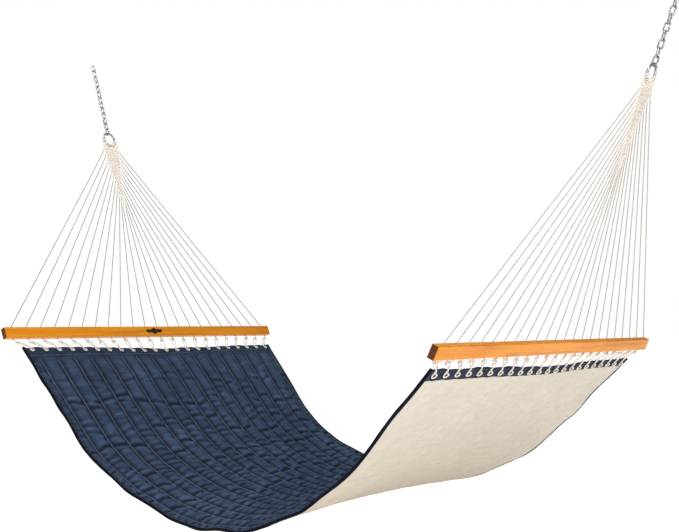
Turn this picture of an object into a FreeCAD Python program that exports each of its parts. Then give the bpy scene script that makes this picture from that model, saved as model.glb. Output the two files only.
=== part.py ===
import FreeCAD, Part
import math
import os
import Sketcher

# Quilted hammock with two wooden spreader bars, hung by two chains.
# Origin: the left hang point, where the left chain's top link bears on its hook.
# +X runs to the right hang point, +Y across the bed, +Z up. Millimetres.

V = FreeCAD.Vector
Rule = Sketcher.Constraint
X_AXIS = -1
V_AXIS = -2

DIMENSIONS = (
    ("hang_span", 2576, "between the two hang points"),
    ("fan_angle", 19.8, "chain and cord fan, from the vertical"),
    ("link_count", 13, "links in each chain"),
    ("link_wire", 5, "wire of a link"),
    ("link_inside_length", 25, "inside length of a link"),
    ("link_inside_width", 10, "inside width of a link"),
    ("play", 0.3, "clearance between pieces that bear on each other"),
    ("ring_wire", 8, "wire of the ring"),
    ("ring_inside", 48, "inside diameter of the ring"),
    ("hitch_count", 11, "cords hitched round the ring, two ends each"),
    ("hitch_wire", 4.8, "width of one hitch along the ring"),
    ("hitch_spread", 136, "part of the ring that the hitches cover, in degrees"),
    ("cord_diameter", 3, "clew cord"),
    ("cord_ends", 22, "cord ends in each clew, one for each bar hole"),
    ("cord_bend", 5, "radius of the cord where it enters the bar"),
    ("weave_tip", 297, "ring centre to the point of the woven clew"),
    ("weave_width", 65, "woven clew at the ring"),
    ("weave_thickness", 6, "woven clew"),
    ("weave_first_row", 45, "ring centre to the first woven row"),
    ("fan_length", 829, "ring centre to the bar's upper edge"),
    ("bar_length", 1400, "spreader bar"),
    ("bar_depth", 40, "spreader bar, along the cords"),
    ("bar_thickness", 22, "spreader bar"),
    ("bar_edge", 2.5, "eased edges of the bar"),
    ("bar_tilt", 25, "bar's depth, from the vertical"),
    ("bar_hole", 6, "cord holes in the bar"),
    ("bar_hole_pitch", 63.5, "between cord holes"),
    ("lacing_angle", 43, "bar to hem, from the vertical"),
    ("knot_drop", 10, "bar's lower edge to the knots"),
    ("knot_diameter", 9, "knot under each hole"),
    ("hem_drop", 41, "bar's lower edge to the hem"),
    ("lacing_gap", 14, "between the two strands of a lacing loop"),
    ("eyelet_inset", 20, "hem edge to the eyelets"),
    ("eyelet_pitch", 58.5, "between eyelets"),
    ("eyelet_outside", 15, "eyelet flange diameter"),
    ("eyelet_barrel", 10, "eyelet barrel diameter"),
    ("eyelet_bore", 7, "eyelet hole"),
    ("eyelet_flange", 1, "eyelet flange thickness"),
    ("hem_length", 48, "stitched hem along the bed"),
    ("hem_thickness", 6, "stitched hem"),
    ("bed_slope", 47, "bed's straight ends, from the horizontal"),
    ("bed_straight", 353, "length of each straight end of the bed"),
    ("bed_width", 1303, "bed at its hems"),
    ("bed_waist", 1207, "bed half way along"),
    ("cover_thickness", 1.5, "top or back cloth"),
    ("batting_thickness", 12, "filling between the cloths"),
    ("binding_width", 9, "tape round each long edge"),
    ("binding_thickness", 9, "tape round each long edge"),
    ("badge_length", 84, "plate on the left bar"),
    ("badge_height", 13, "plate's two arms"),
    ("badge_disc", 25, "plate's round middle"),
    ("badge_thickness", 2, "plate's round middle"),
    ("badge_arm_thickness", 1.4, "plate's two arms"),
    ("nail_head", 4.5, "badge nail head diameter"),
    ("nail_height", 1.2, "badge nail head height"),
    ("nail_shank", 1.6, "badge nail shank diameter"),
    ("nail_length", 12, "badge nail shank"),
    ("nail_spacing", 70, "between the badge's two nails"),
)

doc = FreeCAD.newDocument("hammock")
sheet = doc.addObject("Spreadsheet::Sheet", "Sizes")
row = 0


def cell(alias, value, meaning):
    """Add one named number to the sheet."""
    global row
    row += 1
    sheet.set(f"A{row}", meaning)
    sheet.set(f"B{row}", str(value))
    sheet.setAlias(f"B{row}", alias)


for entry in DIMENSIONS:
    cell(*entry)
doc.recompute()


def size(alias):
    return float(sheet.get(alias))


def leaning(degrees):
    """Unit direction that runs down and towards +X, at an angle from the vertical."""
    angle = math.radians(degrees)
    return V(math.sin(angle), 0, -math.cos(angle))


# ---- places that follow from the driving sizes, on the left side ----

LINK_PITCH = size("link_inside_length") - size("play")
fan = leaning(size("fan_angle"))
depth = leaning(size("bar_tilt"))
link_half = size("link_inside_length") / 2
chain_end = link_half + (size("link_count") - 1) * LINK_PITCH + link_half
ring_distance = chain_end - size("play") + size("ring_inside") / 2
ring_centre = fan * ring_distance
mouth = fan * (ring_distance + size("fan_length"))
bar_centre = mouth + depth * (size("bar_depth") / 2)
bar_bottom = mouth + depth * size("bar_depth")
knots = bar_bottom + leaning(size("lacing_angle")) * size("knot_drop")
hem_edge = bar_bottom + leaning(size("lacing_angle") + 2) * size("hem_drop")
middle = size("hang_span") / 2
slope = math.radians(size("bed_slope"))

# The bed's side outline is an arc with a straight end at each side, and its long
# edges are shallow arcs that narrow it half way along.
half_chord = middle - hem_edge.x
bed_radius = (half_chord - size("bed_straight") * math.cos(slope)) / math.sin(slope)
arc_height = bed_radius * math.cos(slope) - size("bed_straight") * math.sin(slope)
waist_inset = (size("bed_width") - size("bed_waist")) / 2
side_radius = (half_chord ** 2 + waist_inset ** 2) / (2 * waist_inset)
hem_taper = waist_inset * 2 / half_chord * size("hem_length") * math.cos(slope)
cell("half_chord", round(half_chord, 4), "worked out: bed's middle to its hem edge")
cell("bed_radius", round(bed_radius, 4), "worked out: bed's arc")
cell("arc_height", round(arc_height, 4), "worked out: arc's centre above the hem edges")
cell("side_radius", round(side_radius, 4), "worked out: bed's long edges in plan")
cell("hem_taper", round(hem_taper, 4), "worked out: hem narrows by this on each side")
doc.recompute()


# ---- frames ----

def frame(origin, along, across):
    """Placement whose local X runs along and whose local Y runs across."""
    turn = FreeCAD.Rotation(along, across, along.cross(across), "XYZ")
    return FreeCAD.Placement(origin, turn)


def on_side(side, place):
    """The left side's placement, or the same turned half round the middle for the right."""
    if side == "left":
        return place
    turn = FreeCAD.Rotation(V(0, 0, 1), 180)
    return FreeCAD.Placement(V(size("hang_span"), 0, 0), turn).multiply(place)


Y = V(0, 1, 0)
fan_frame = frame(ring_centre, fan, Y)
bar_frame = frame(bar_centre, depth, Y)
hem_frame = frame(hem_edge, leaning(90 - size("bed_slope")), Y)
bed_frame = FreeCAD.Placement(V(middle, 0, hem_edge.z), FreeCAD.Rotation())

pieces = []


def finish(piece, place):
    piece.Placement = place
    pieces.append(piece)


# ---- sketch and feature helpers ----

def new_body(label):
    body = doc.addObject("PartDesign::Body", label)
    body.Label = label
    body.AllowCompound = True
    return body


def body_sketch(body, role, name):
    """Sketch on one of the body's own origin planes."""
    sketch = body.newObject("Sketcher::SketchObject", name)
    plane = next(f for f in body.Origin.OriginFeatures if f.Role == role)
    sketch.AttachmentSupport = (plane, [""])
    sketch.MapMode = "FlatFace"
    return sketch


def bind(sketch, rule, expression):
    """Add a dimensional constraint and tie it to the sheet."""
    index = sketch.addConstraint(rule)
    sketch.setExpression(f"Constraints[{index}]", expression)


def add_circle(sketch, x, y, x_expression, y_expression, radius_expression):
    """Circle whose centre and radius come from the sheet."""
    shape = sketch.addGeometry(Part.Circle(V(x, y, 0), V(0, 0, 1), 1), False)
    place_point(sketch, shape, 3, x, y, x_expression, y_expression)
    bind(sketch, Rule("Radius", shape, 1), radius_expression)
    return shape


def place_point(sketch, shape, point, x, y, x_expression, y_expression):
    """Tie a point to the sketch's origin, on an axis where its expression is None."""
    if x_expression is None:
        sketch.addConstraint(Rule("PointOnObject", shape, point, V_AXIS))
    else:
        bind(sketch, Rule("DistanceX", -1, 1, shape, point, x), x_expression)
    if y_expression is None:
        sketch.addConstraint(Rule("PointOnObject", shape, point, X_AXIS))
    else:
        bind(sketch, Rule("DistanceY", -1, 1, shape, point, y), y_expression)


def add_rectangle(sketch, width, height, width_expression, height_expression):
    """Rectangle centred on the sketch's origin."""
    a = width / 2
    b = height / 2
    corners = (V(-a, -b, 0), V(a, -b, 0), V(a, b, 0), V(-a, b, 0))
    first = sketch.GeometryCount
    for i in range(4):
        sketch.addGeometry(Part.LineSegment(corners[i], corners[(i + 1) % 4]), False)
    for i in range(4):
        sketch.addConstraint(Rule("Coincident", first + i, 2, first + (i + 1) % 4, 1))
    sketch.addConstraint(Rule("Horizontal", first))
    sketch.addConstraint(Rule("Horizontal", first + 2))
    sketch.addConstraint(Rule("Vertical", first + 1))
    sketch.addConstraint(Rule("Vertical", first + 3))
    sketch.addConstraint(Rule("Symmetric", first, 1, first + 1, 2, -1, 1))
    bind(sketch, Rule("DistanceX", first, 1, first, 2, width), width_expression)
    bind(sketch, Rule("DistanceY", first + 1, 1, first + 1, 2, height), height_expression)


def pad(body, sketch, name, length_expression, centred):
    feature = body.newObject("PartDesign::Pad", name)
    feature.Profile = sketch
    feature.Midplane = centred
    feature.setExpression("Length", length_expression)
    return feature


def revolve(body, sketch, name):
    feature = body.newObject("PartDesign::Revolution", name)
    feature.Profile = sketch
    feature.ReferenceAxis = (sketch, ["V_Axis"])
    feature.Angle = 360
    return feature


def row_of(body, feature, sketch, count_expression, length_expression):
    """Repeat a feature along the sketch's vertical axis, which is the body's Y."""
    pattern = body.newObject("PartDesign::LinearPattern", "row")
    pattern.Originals = [feature]
    pattern.Direction = (sketch, ["V_Axis"])
    pattern.setExpression("Occurrences", count_expression)
    pattern.setExpression("Length", length_expression)
    body.Tip = pattern


def sweep(edges, diameter):
    """Round solid along a smooth wire."""
    wire = Part.Wire(edges)
    start = edges[0].valueAt(edges[0].FirstParameter)
    heading = edges[0].tangentAt(edges[0].FirstParameter)
    section = Part.Wire(Part.Edge(Part.Circle(start, heading, diameter / 2)))
    solid = wire.makePipeShell([section], True, False)
    expected = math.pi * (diameter / 2) ** 2 * wire.Length
    assert abs(solid.Volume - expected) < 0.02 * expected, "sweep volume"
    return solid


def bend(start, corner, end, radius):
    """Two straight runs joined by a tangent arc."""
    back = (start - corner).normalize()
    onward = (end - corner).normalize()
    half_turn = (math.pi - back.getAngle(onward)) / 2
    reach = radius * math.tan(half_turn)
    first = corner + back * reach
    last = corner + onward * reach
    inward = (back + onward).normalize()
    centre = corner + inward * (radius / math.cos(half_turn))
    halfway = centre - inward * radius
    arc = Part.Arc(first, halfway, last).toShape()
    runs = [Part.LineSegment(start, first).toShape(), arc]
    runs.append(Part.LineSegment(last, end).toShape())
    return runs


# ---- chains: straight-sided welded links, each turned a quarter from the last ----

def chain_link(label, place):
    body = new_body(label)
    radius = (size("link_inside_width") + size("link_wire")) / 2
    straight = size("link_inside_length") - size("link_inside_width")
    end = straight / 2
    path = body_sketch(body, "XY_Plane", "path")
    up = V(0, 0, 1)
    quarter = math.pi / 2
    path.addGeometry(Part.LineSegment(V(-end, radius, 0), V(end, radius, 0)), False)
    right = Part.Circle(V(end, 0, 0), up, radius)
    path.addGeometry(Part.ArcOfCircle(right, -quarter, quarter), False)
    path.addGeometry(Part.LineSegment(V(end, -radius, 0), V(-end, -radius, 0)), False)
    left = Part.Circle(V(-end, 0, 0), up, radius)
    path.addGeometry(Part.ArcOfCircle(left, quarter, 3 * quarter), False)
    path.addConstraint(Rule("Tangent", 0, 2, 1, 2))
    path.addConstraint(Rule("Tangent", 1, 1, 2, 1))
    path.addConstraint(Rule("Tangent", 2, 2, 3, 2))
    path.addConstraint(Rule("Tangent", 3, 1, 0, 1))
    path.addConstraint(Rule("Symmetric", 1, 3, 3, 3, -1, 1))
    path.addConstraint(Rule("Horizontal", 0))
    middle_radius = "(Sizes.link_inside_width + Sizes.link_wire) / 2"
    bind(path, Rule("Radius", 1, radius), middle_radius)
    side = "Sizes.link_inside_length - Sizes.link_inside_width"
    bind(path, Rule("Distance", 0, straight), side)
    section = body_sketch(body, "YZ_Plane", "section")
    add_circle(section, radius, 0, middle_radius, None, "Sizes.link_wire / 2")
    wire = body.newObject("PartDesign::AdditivePipe", "wire")
    wire.Profile = section
    wire.Spine = (path, [])
    finish(body, place)


def make_chain(side):
    flat = fan.cross(Y)
    for i in range(int(size("link_count"))):
        across = flat if i % 2 == 0 else Y
        place = frame(fan * (link_half + i * LINK_PITCH), fan, across)
        chain_link(f"chain_link_{side}_{i + 1:02d}", on_side(side, place))


# ---- ring, and the hitches that hold the clew cords to its lower half ----

def make_ring(side):
    body = new_body(f"ring_{side}")
    section = body_sketch(body, "XZ_Plane", "section")
    radius = (size("ring_inside") + size("ring_wire")) / 2
    middle_radius = "(Sizes.ring_inside + Sizes.ring_wire) / 2"
    add_circle(section, radius, 0, middle_radius, None, "Sizes.ring_wire / 2")
    revolve(body, section, "wire")
    finish(body, on_side(side, fan_frame))


def make_hitches(side):
    """Rings of cord round the ring's wire, spread over its lower half."""
    body = new_body(f"clew_hitches_{side}")
    section = body_sketch(body, "XY_Plane", "section")
    ring_radius = (size("ring_inside") + size("ring_wire")) / 2
    wrap = (size("ring_wire") + size("hitch_wire")) / 2 + 0.1
    ring_expression = "(Sizes.ring_inside + Sizes.ring_wire) / 2"
    wrap_expression = "(Sizes.ring_wire + Sizes.hitch_wire) / 2 + 0.1"
    far = ring_radius + wrap
    far_expression = f"{ring_expression} + {wrap_expression}"
    add_circle(section, far, 0, far_expression, None, "Sizes.hitch_wire / 2")
    line = Part.LineSegment(V(ring_radius, 0, 0), V(ring_radius, 10, 0))
    axis = section.addGeometry(line, True)
    section.addConstraint(Rule("Vertical", axis))
    place_point(section, axis, 1, ring_radius, 0, ring_expression, None)
    section.addConstraint(Rule("DistanceY", axis, 1, axis, 2, 10))
    wrap_round = body.newObject("PartDesign::Revolution", "wrap")
    wrap_round.Profile = section
    wrap_round.ReferenceAxis = (section, ["Axis0"])
    wrap_round.Angle = 360
    spread = body.newObject("PartDesign::PolarPattern", "spread")
    spread.Originals = [wrap_round]
    spread.Axis = (section, ["N_Axis"])
    spread.setExpression("Angle", "Sizes.hitch_spread")
    spread.setExpression("Occurrences", "Sizes.hitch_count")
    body.Tip = spread
    start = FreeCAD.Rotation(V(0, 0, 1), -size("hitch_spread") / 2)
    place = fan_frame.multiply(FreeCAD.Placement(V(0, 0, 0), start))
    finish(body, on_side(side, place))


# ---- woven clew: a thin wedge that starts at the hitches and ends in a point ----

def weave_half_width(distance):
    """Half the woven clew's width at a distance below the ring's centre."""
    top = size("weave_width") / 2
    tip = size("cord_diameter")
    begin = weave_start()
    share = (distance - begin) / (size("weave_tip") - begin)
    return top + (tip - top) * share


def hitch_reach():
    ring_radius = (size("ring_inside") + size("ring_wire")) / 2
    wrap = (size("ring_wire") + size("hitch_wire")) / 2 + 0.1
    return ring_radius + wrap + size("hitch_wire") / 2 + size("play")


def weave_start():
    """Ring centre to the woven clew's upper corners."""
    return math.sqrt(hitch_reach() ** 2 - (size("weave_width") / 2) ** 2)


def make_weave(side):
    body = new_body(f"clew_weave_{side}")
    outline = body_sketch(body, "XY_Plane", "outline")
    reach = hitch_reach()
    top = size("weave_width") / 2
    tip = size("cord_diameter")
    begin = weave_start()
    end = size("weave_tip")
    turn = math.atan2(top, begin)
    hollow = Part.Circle(V(0, 0, 0), V(0, 0, 1), reach)
    outline.addGeometry(Part.ArcOfCircle(hollow, -turn, turn), False)
    outline.addGeometry(Part.LineSegment(V(begin, top, 0), V(end, tip, 0)), False)
    outline.addGeometry(Part.LineSegment(V(end, tip, 0), V(end, -tip, 0)), False)
    outline.addGeometry(Part.LineSegment(V(end, -tip, 0), V(begin, -top, 0)), False)
    outline.addConstraint(Rule("Coincident", 0, 2, 1, 1))
    outline.addConstraint(Rule("Coincident", 1, 2, 2, 1))
    outline.addConstraint(Rule("Coincident", 2, 2, 3, 1))
    outline.addConstraint(Rule("Coincident", 3, 2, 0, 1))
    outline.addConstraint(Rule("Coincident", 0, 3, -1, 1))
    outline.addConstraint(Rule("Vertical", 0, 1, 0, 2))
    outline.addConstraint(Rule("Symmetric", 1, 2, 2, 2, X_AXIS))
    hollow_radius = (
        "(Sizes.ring_inside + Sizes.ring_wire) / 2"
        " + (Sizes.ring_wire + Sizes.hitch_wire) / 2 + 0.1"
        " + Sizes.hitch_wire / 2 + Sizes.play"
    )
    bind(outline, Rule("Radius", 0, reach), hollow_radius)
    bind(outline, Rule("DistanceY", 3, 2, 1, 1, 2 * top), "Sizes.weave_width")
    bind(outline, Rule("DistanceY", 2, 2, 2, 1, 2 * tip), "2 * Sizes.cord_diameter")
    bind(outline, Rule("DistanceX", -1, 1, 1, 2, end), "Sizes.weave_tip")
    pad(body, outline, "web", "Sizes.weave_thickness", True)
    finish(body, on_side(side, fan_frame))


# ---- clew cords: each leaves the weave, bends into its hole and ends at its knot ----

def make_cords(side):
    to_fan = fan_frame.inverse()
    bar_mouth = to_fan.multVec(mouth)
    knot = to_fan.multVec(knots)
    below = to_fan.multVec(bar_bottom)
    stop = below + (knot - below).normalize() * (size("knot_drop") - 5.2)
    count = int(size("cord_ends"))
    rows = count // 2
    row_step = (size("weave_tip") - size("weave_first_row")) / (rows - 1)
    solids = []
    for i in range(count):
        out = 1 if i < rows else -1
        rank = i if i < rows else count - 1 - i
        across = V(0, out * ((count - 1) / 2 - rank) * size("bar_hole_pitch"), 0)
        distance = size("weave_first_row") + rank * row_step
        start = V(distance, out * weave_half_width(distance), 0)
        lead = bend(start, bar_mouth + across, below + across, size("cord_bend"))
        tail = bend(bar_mouth + across, below + across, stop + across, size("cord_bend"))
        straight = Part.LineSegment(lead[1].Vertexes[-1].Point, tail[1].Vertexes[0].Point)
        path = [lead[0], lead[1], straight.toShape(), tail[1], tail[2]]
        solids.append(sweep(path, size("cord_diameter")))
    node = doc.addObject("Part::Feature", f"clew_cords_{side}")
    node.Label = f"clew_cords_{side}"
    node.Shape = Part.makeCompound(solids)
    finish(node, on_side(side, fan_frame))


# ---- spreader bars: local X down the bar's depth, Y along it ----

def make_bar(side):
    body = new_body(f"spreader_bar_{side}")
    section = body_sketch(body, "XZ_Plane", "section")
    add_rectangle(section, size("bar_depth"), size("bar_thickness"),
                  "Sizes.bar_depth", "Sizes.bar_thickness")
    blank = pad(body, section, "blank", "Sizes.bar_length", True)
    doc.recompute()
    eased = body.newObject("PartDesign::Fillet", "eased")
    edges = [f"Edge{i + 1}" for i in range(len(blank.Shape.Edges))]
    eased.Base = (blank, edges)
    eased.setExpression("Radius", "Sizes.bar_edge")
    doc.recompute()
    hole_sketch = body_sketch(body, "YZ_Plane", "hole_place")
    first = size("bar_hole_pitch") * (size("cord_ends") - 1) / 2
    add_circle(hole_sketch, -first, 0, "-Sizes.bar_hole_pitch * (Sizes.cord_ends - 1) / 2",
               None, "Sizes.bar_hole / 2")
    hole = body.newObject("PartDesign::Pocket", "hole")
    hole.Profile = hole_sketch
    hole.Midplane = True
    hole.setExpression("Length", "Sizes.bar_depth + 10")
    pattern = body.newObject("PartDesign::LinearPattern", "row")
    pattern.Originals = [hole]
    pattern.Direction = (hole_sketch, ["H_Axis"])
    pattern.setExpression("Occurrences", "Sizes.cord_ends")
    pattern.setExpression("Length", "Sizes.bar_hole_pitch * (Sizes.cord_ends - 1)")
    body.Tip = pattern
    doc.recompute()
    drilled = size("cord_ends") * math.pi * (size("bar_hole") / 2) ** 2 * size("bar_depth")
    removed = eased.Shape.Volume - body.Shape.Volume
    assert abs(removed - drilled) < 0.05 * drilled, "bar holes"
    finish(body, on_side(side, bar_frame))


# ---- lacing: under each hole a knot, and a loop of cord through the bed's eyelet ----

def lacing_loop(knot, eyelet, normal):
    """U of cord whose bend passes through the eyelet, with a knot on its two ends."""
    along = (eyelet - knot).normalize()
    gap = size("lacing_gap") / 2
    centre = eyelet - along * gap
    rise = (normal - along * normal.dot(along)).normalize()
    root = size("cord_diameter") / 2 + 0.3
    reach = (centre - knot).dot(along)
    lean = math.atan2(gap - root, reach) + 0.0
    for _ in range(20):
        touch = V(math.sin(lean) * -gap, math.cos(lean) * gap, 0)
        lean = math.atan2(touch.y - root, reach + touch.x)
    upper = centre + along * touch.x + rise * touch.y
    lower = centre + along * touch.x - rise * touch.y
    start = knot + rise * root
    stop = knot - rise * root
    turn = Part.Arc(upper, eyelet, lower).toShape()
    edges = [Part.LineSegment(start, upper).toShape(), turn]
    edges.append(Part.LineSegment(lower, stop).toShape())
    loop = sweep(edges, size("cord_diameter"))
    ball = Part.makeSphere(size("knot_diameter") / 2, knot)
    return loop.fuse(ball).removeSplitter()


def make_lacing(side):
    count = int(size("cord_ends"))
    to_hem = hem_frame.inverse()
    knot_line = to_hem.multVec(knots)
    eyelet_line = V(size("eyelet_inset"), 0, 0)
    solids = []
    for i in range(count):
        place = (count - 1) / 2 - i
        knot = knot_line + V(0, place * size("bar_hole_pitch"), 0)
        eyelet = eyelet_line + V(0, place * size("eyelet_pitch"), 0)
        solids.append(lacing_loop(knot, eyelet, V(0, 0, 1)))
    node = doc.addObject("Part::Feature", f"end_lacing_{side}")
    node.Label = f"end_lacing_{side}"
    node.Shape = Part.makeCompound(solids)
    finish(node, on_side(side, hem_frame))


# ---- hems and their eyelets: local X from the hem edge down the bed, Z off its face ----

def make_hem(side):
    body = new_body(f"end_hem_{side}")
    outline = body_sketch(body, "XY_Plane", "outline")
    edge = size("bed_width") / 2 - size("binding_width") - size("play")
    inner = edge - size("hem_taper")
    length = size("hem_length")
    corners = (V(0, edge, 0), V(0, -edge, 0), V(length, -inner, 0), V(length, inner, 0))
    for i in range(4):
        outline.addGeometry(Part.LineSegment(corners[i], corners[(i + 1) % 4]), False)
    for i in range(4):
        outline.addConstraint(Rule("Coincident", i, 2, (i + 1) % 4, 1))
    outline.addConstraint(Rule("PointOnObject", 0, 1, V_AXIS))
    outline.addConstraint(Rule("Symmetric", 0, 1, 0, 2, X_AXIS))
    outline.addConstraint(Rule("Symmetric", 2, 1, 2, 2, X_AXIS))
    full = "Sizes.bed_width - 2 * Sizes.binding_width - 2 * Sizes.play"
    bind(outline, Rule("DistanceY", 0, 2, 0, 1, 2 * edge), full)
    bind(outline, Rule("DistanceY", 2, 1, 2, 2, 2 * inner), f"{full} - 2 * Sizes.hem_taper")
    bind(outline, Rule("DistanceX", -1, 1, 2, 1, length), "Sizes.hem_length")
    pad(body, outline, "cloth", "Sizes.hem_thickness", True)
    doc.recompute()
    hole_sketch = body_sketch(body, "XY_Plane", "hole_place")
    first = size("eyelet_pitch") * (size("cord_ends") - 1) / 2
    add_circle(hole_sketch, size("eyelet_inset"), -first, "Sizes.eyelet_inset",
               "-Sizes.eyelet_pitch * (Sizes.cord_ends - 1) / 2", "Sizes.eyelet_barrel / 2")
    hole = body.newObject("PartDesign::Pocket", "hole")
    hole.Profile = hole_sketch
    hole.Midplane = True
    hole.setExpression("Length", "Sizes.hem_thickness + 4")
    row_of(body, hole, hole_sketch, "Sizes.cord_ends",
           "Sizes.eyelet_pitch * (Sizes.cord_ends - 1)")
    finish(body, on_side(side, hem_frame))


def make_eyelets(side):
    body = new_body(f"eyelets_{side}")
    profile = body_sketch(body, "XZ_Plane", "profile")
    bore = size("eyelet_bore") / 2
    barrel = size("eyelet_barrel") / 2
    flange = size("eyelet_outside") / 2
    inner = size("hem_thickness") / 2
    outer = inner + size("eyelet_flange")
    points = (V(bore, -outer, 0), V(flange, -outer, 0), V(flange, -inner, 0),
              V(barrel, -inner, 0), V(barrel, inner, 0), V(flange, inner, 0),
              V(flange, outer, 0), V(bore, outer, 0))
    count = len(points)
    for i in range(count):
        profile.addGeometry(Part.LineSegment(points[i], points[(i + 1) % count]), False)
    for i in range(count):
        profile.addConstraint(Rule("Coincident", i, 2, (i + 1) % count, 1))
        profile.addConstraint(Rule("Horizontal" if i % 2 == 0 else "Vertical", i))
    profile.addConstraint(Rule("Equal", 1, 5))
    profile.addConstraint(Rule("Equal", 0, 6))
    bind(profile, Rule("DistanceX", -1, 1, 0, 1, bore), "Sizes.eyelet_bore / 2")
    bind(profile, Rule("DistanceX", -1, 1, 0, 2, flange), "Sizes.eyelet_outside / 2")
    bind(profile, Rule("DistanceX", -1, 1, 3, 1, barrel), "Sizes.eyelet_barrel / 2")
    bind(profile, Rule("DistanceY", 3, 1, -1, 1, inner), "Sizes.hem_thickness / 2")
    bind(profile, Rule("DistanceY", -1, 1, 3, 2, inner), "Sizes.hem_thickness / 2")
    bind(profile, Rule("DistanceY", 1, 1, 1, 2, outer - inner), "Sizes.eyelet_flange")
    ring = revolve(body, profile, "eyelet")
    pattern = body.newObject("PartDesign::LinearPattern", "row")
    pattern.Originals = [ring]
    pattern.Direction = (profile, ["N_Axis"])
    pattern.setExpression("Occurrences", "Sizes.cord_ends")
    pattern.setExpression("Length", "Sizes.eyelet_pitch * (Sizes.cord_ends - 1)")
    body.Tip = pattern
    doc.recompute()
    first = size("eyelet_pitch") * (size("cord_ends") - 1) / 2
    if body.Shape.BoundBox.Center.y < 0:
        first = -first
    place = hem_frame.multiply(FreeCAD.Placement(V(size("eyelet_inset"), -first, 0),
                                                 FreeCAD.Rotation()))
    finish(body, on_side(side, place))


# ---- bed: side outline pushed across the bed, kept inside its outline in plan ----

def extrude(sketch, name, direction, length_expression):
    solid = doc.addObject("Part::Extrusion", name)
    solid.Base = sketch
    solid.DirMode = "Custom"
    solid.Dir = direction
    solid.Solid = True
    solid.Symmetric = True
    solid.setExpression("LengthFwd", length_expression)
    return solid


def side_outline(label, above, below, trim):
    """Layer between two offsets from the bed's middle surface, trimmed at both hems."""
    sketch = doc.addObject("Sketcher::SketchObject", f"{label}_side")
    sketch.Placement = FreeCAD.Placement(V(0, 0, 0), FreeCAD.Rotation(V(1, 0, 0), 90))
    centre = V(0, arc_height, 0)
    reach = size("bed_straight") - trim[0]
    start = 1.5 * math.pi - slope
    end = 1.5 * math.pi + slope
    for offset in (above[0], -below[0]):
        circle = Part.Circle(centre, V(0, 0, 1), bed_radius - offset)
        sketch.addGeometry(Part.ArcOfCircle(circle, start, end), False)
    ends = []
    for out in (1, -1):
        for offset in (above[0], -below[0]):
            radius = bed_radius - offset
            foot = centre + V(out * radius * math.sin(slope), -radius * math.cos(slope), 0)
            head = foot + V(out * reach * math.cos(slope), reach * math.sin(slope), 0)
            sketch.addGeometry(Part.LineSegment(foot, head), False)
            ends.append(head)
    sketch.addGeometry(Part.LineSegment(ends[0], ends[1]), False)
    sketch.addGeometry(Part.LineSegment(ends[2], ends[3]), False)
    sketch.addConstraint(Rule("Coincident", 0, 3, 1, 3))
    place_point(sketch, 0, 3, 0, arc_height, None, "Sizes.arc_height")
    bind(sketch, Rule("Radius", 0, bed_radius - above[0]), f"Sizes.bed_radius - ({above[1]})")
    bind(sketch, Rule("Radius", 1, bed_radius + below[0]), f"Sizes.bed_radius + ({below[1]})")
    for arc, line in ((0, 2), (1, 3)):
        sketch.addConstraint(Rule("Tangent", arc, 2, line, 1))
    for arc, line in ((0, 4), (1, 5)):
        sketch.addConstraint(Rule("Tangent", arc, 1, line, 1))
    bind(sketch, Rule("Angle", 2, slope), "Sizes.bed_slope * 1 deg")
    sketch.addConstraint(Rule("Parallel", 2, 3))
    bind(sketch, Rule("Distance", 2, reach), f"Sizes.bed_straight - ({trim[1]})")
    sketch.addConstraint(Rule("Equal", 2, 3))
    sketch.addConstraint(Rule("Symmetric", 4, 2, 2, 2, V_AXIS))
    sketch.addConstraint(Rule("Symmetric", 5, 2, 3, 2, V_AXIS))
    for cap, upper, lower in ((6, 2, 3), (7, 4, 5)):
        sketch.addConstraint(Rule("Coincident", cap, 1, upper, 2))
        sketch.addConstraint(Rule("Coincident", cap, 2, lower, 2))
    return extrude(sketch, f"{label}_band", V(0, 1, 0), "Sizes.bed_width + 100")


def add_long_edge(sketch, out, inset, inset_expression):
    """Shallow arc along one long edge of the bed, moved in from it by inset."""
    radius = side_radius + inset
    centre = V(0, out * (size("bed_waist") / 2 + side_radius), 0)
    half = half_chord + 30
    turn = math.asin(half / radius)
    circle = Part.Circle(centre, V(0, 0, 1), radius)
    base = 1.5 * math.pi if out > 0 else 0.5 * math.pi
    arc = sketch.addGeometry(Part.ArcOfCircle(circle, base - turn, base + turn), False)
    sign = "" if out > 0 else "-"
    place_point(sketch, arc, 3, 0, centre.y, None,
                f"{sign}(Sizes.bed_waist / 2 + Sizes.side_radius)")
    bind(sketch, Rule("Radius", arc, radius), f"Sizes.side_radius + ({inset_expression})")
    left, right = (1, 2) if out > 0 else (2, 1)
    bind(sketch, Rule("DistanceX", -1, 1, arc, right, half), "Sizes.half_chord + 30")
    bind(sketch, Rule("DistanceX", arc, left, -1, 1, half), "Sizes.half_chord + 30")
    return arc, left, right


def close_ends(sketch, first, second):
    """Straight lines between the ends of two long-edge arcs."""
    for side in (1, 2):
        a, point_a = first[0], first[side]
        b, point_b = second[0], second[side]
        start = sketch.getPoint(a, point_a)
        end = sketch.getPoint(b, point_b)
        line = sketch.addGeometry(Part.LineSegment(start, end), False)
        sketch.addConstraint(Rule("Coincident", line, 1, a, point_a))
        sketch.addConstraint(Rule("Coincident", line, 2, b, point_b))


def plan_outline(label, edges):
    sketch = doc.addObject("Sketcher::SketchObject", f"{label}_plan")
    arcs = [add_long_edge(sketch, *edge) for edge in edges]
    close_ends(sketch, arcs[0], arcs[1])
    return extrude(sketch, f"{label}_block", V(0, 0, 1), "3 * Sizes.bed_radius")


def bed_layer(label, above, below, trim, edges):
    layer = doc.addObject("Part::Common", label)
    layer.Label = label
    layer.Base = side_outline(label, above, below, trim)
    layer.Tool = plan_outline(label, edges)
    finish(layer, bed_frame)


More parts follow.
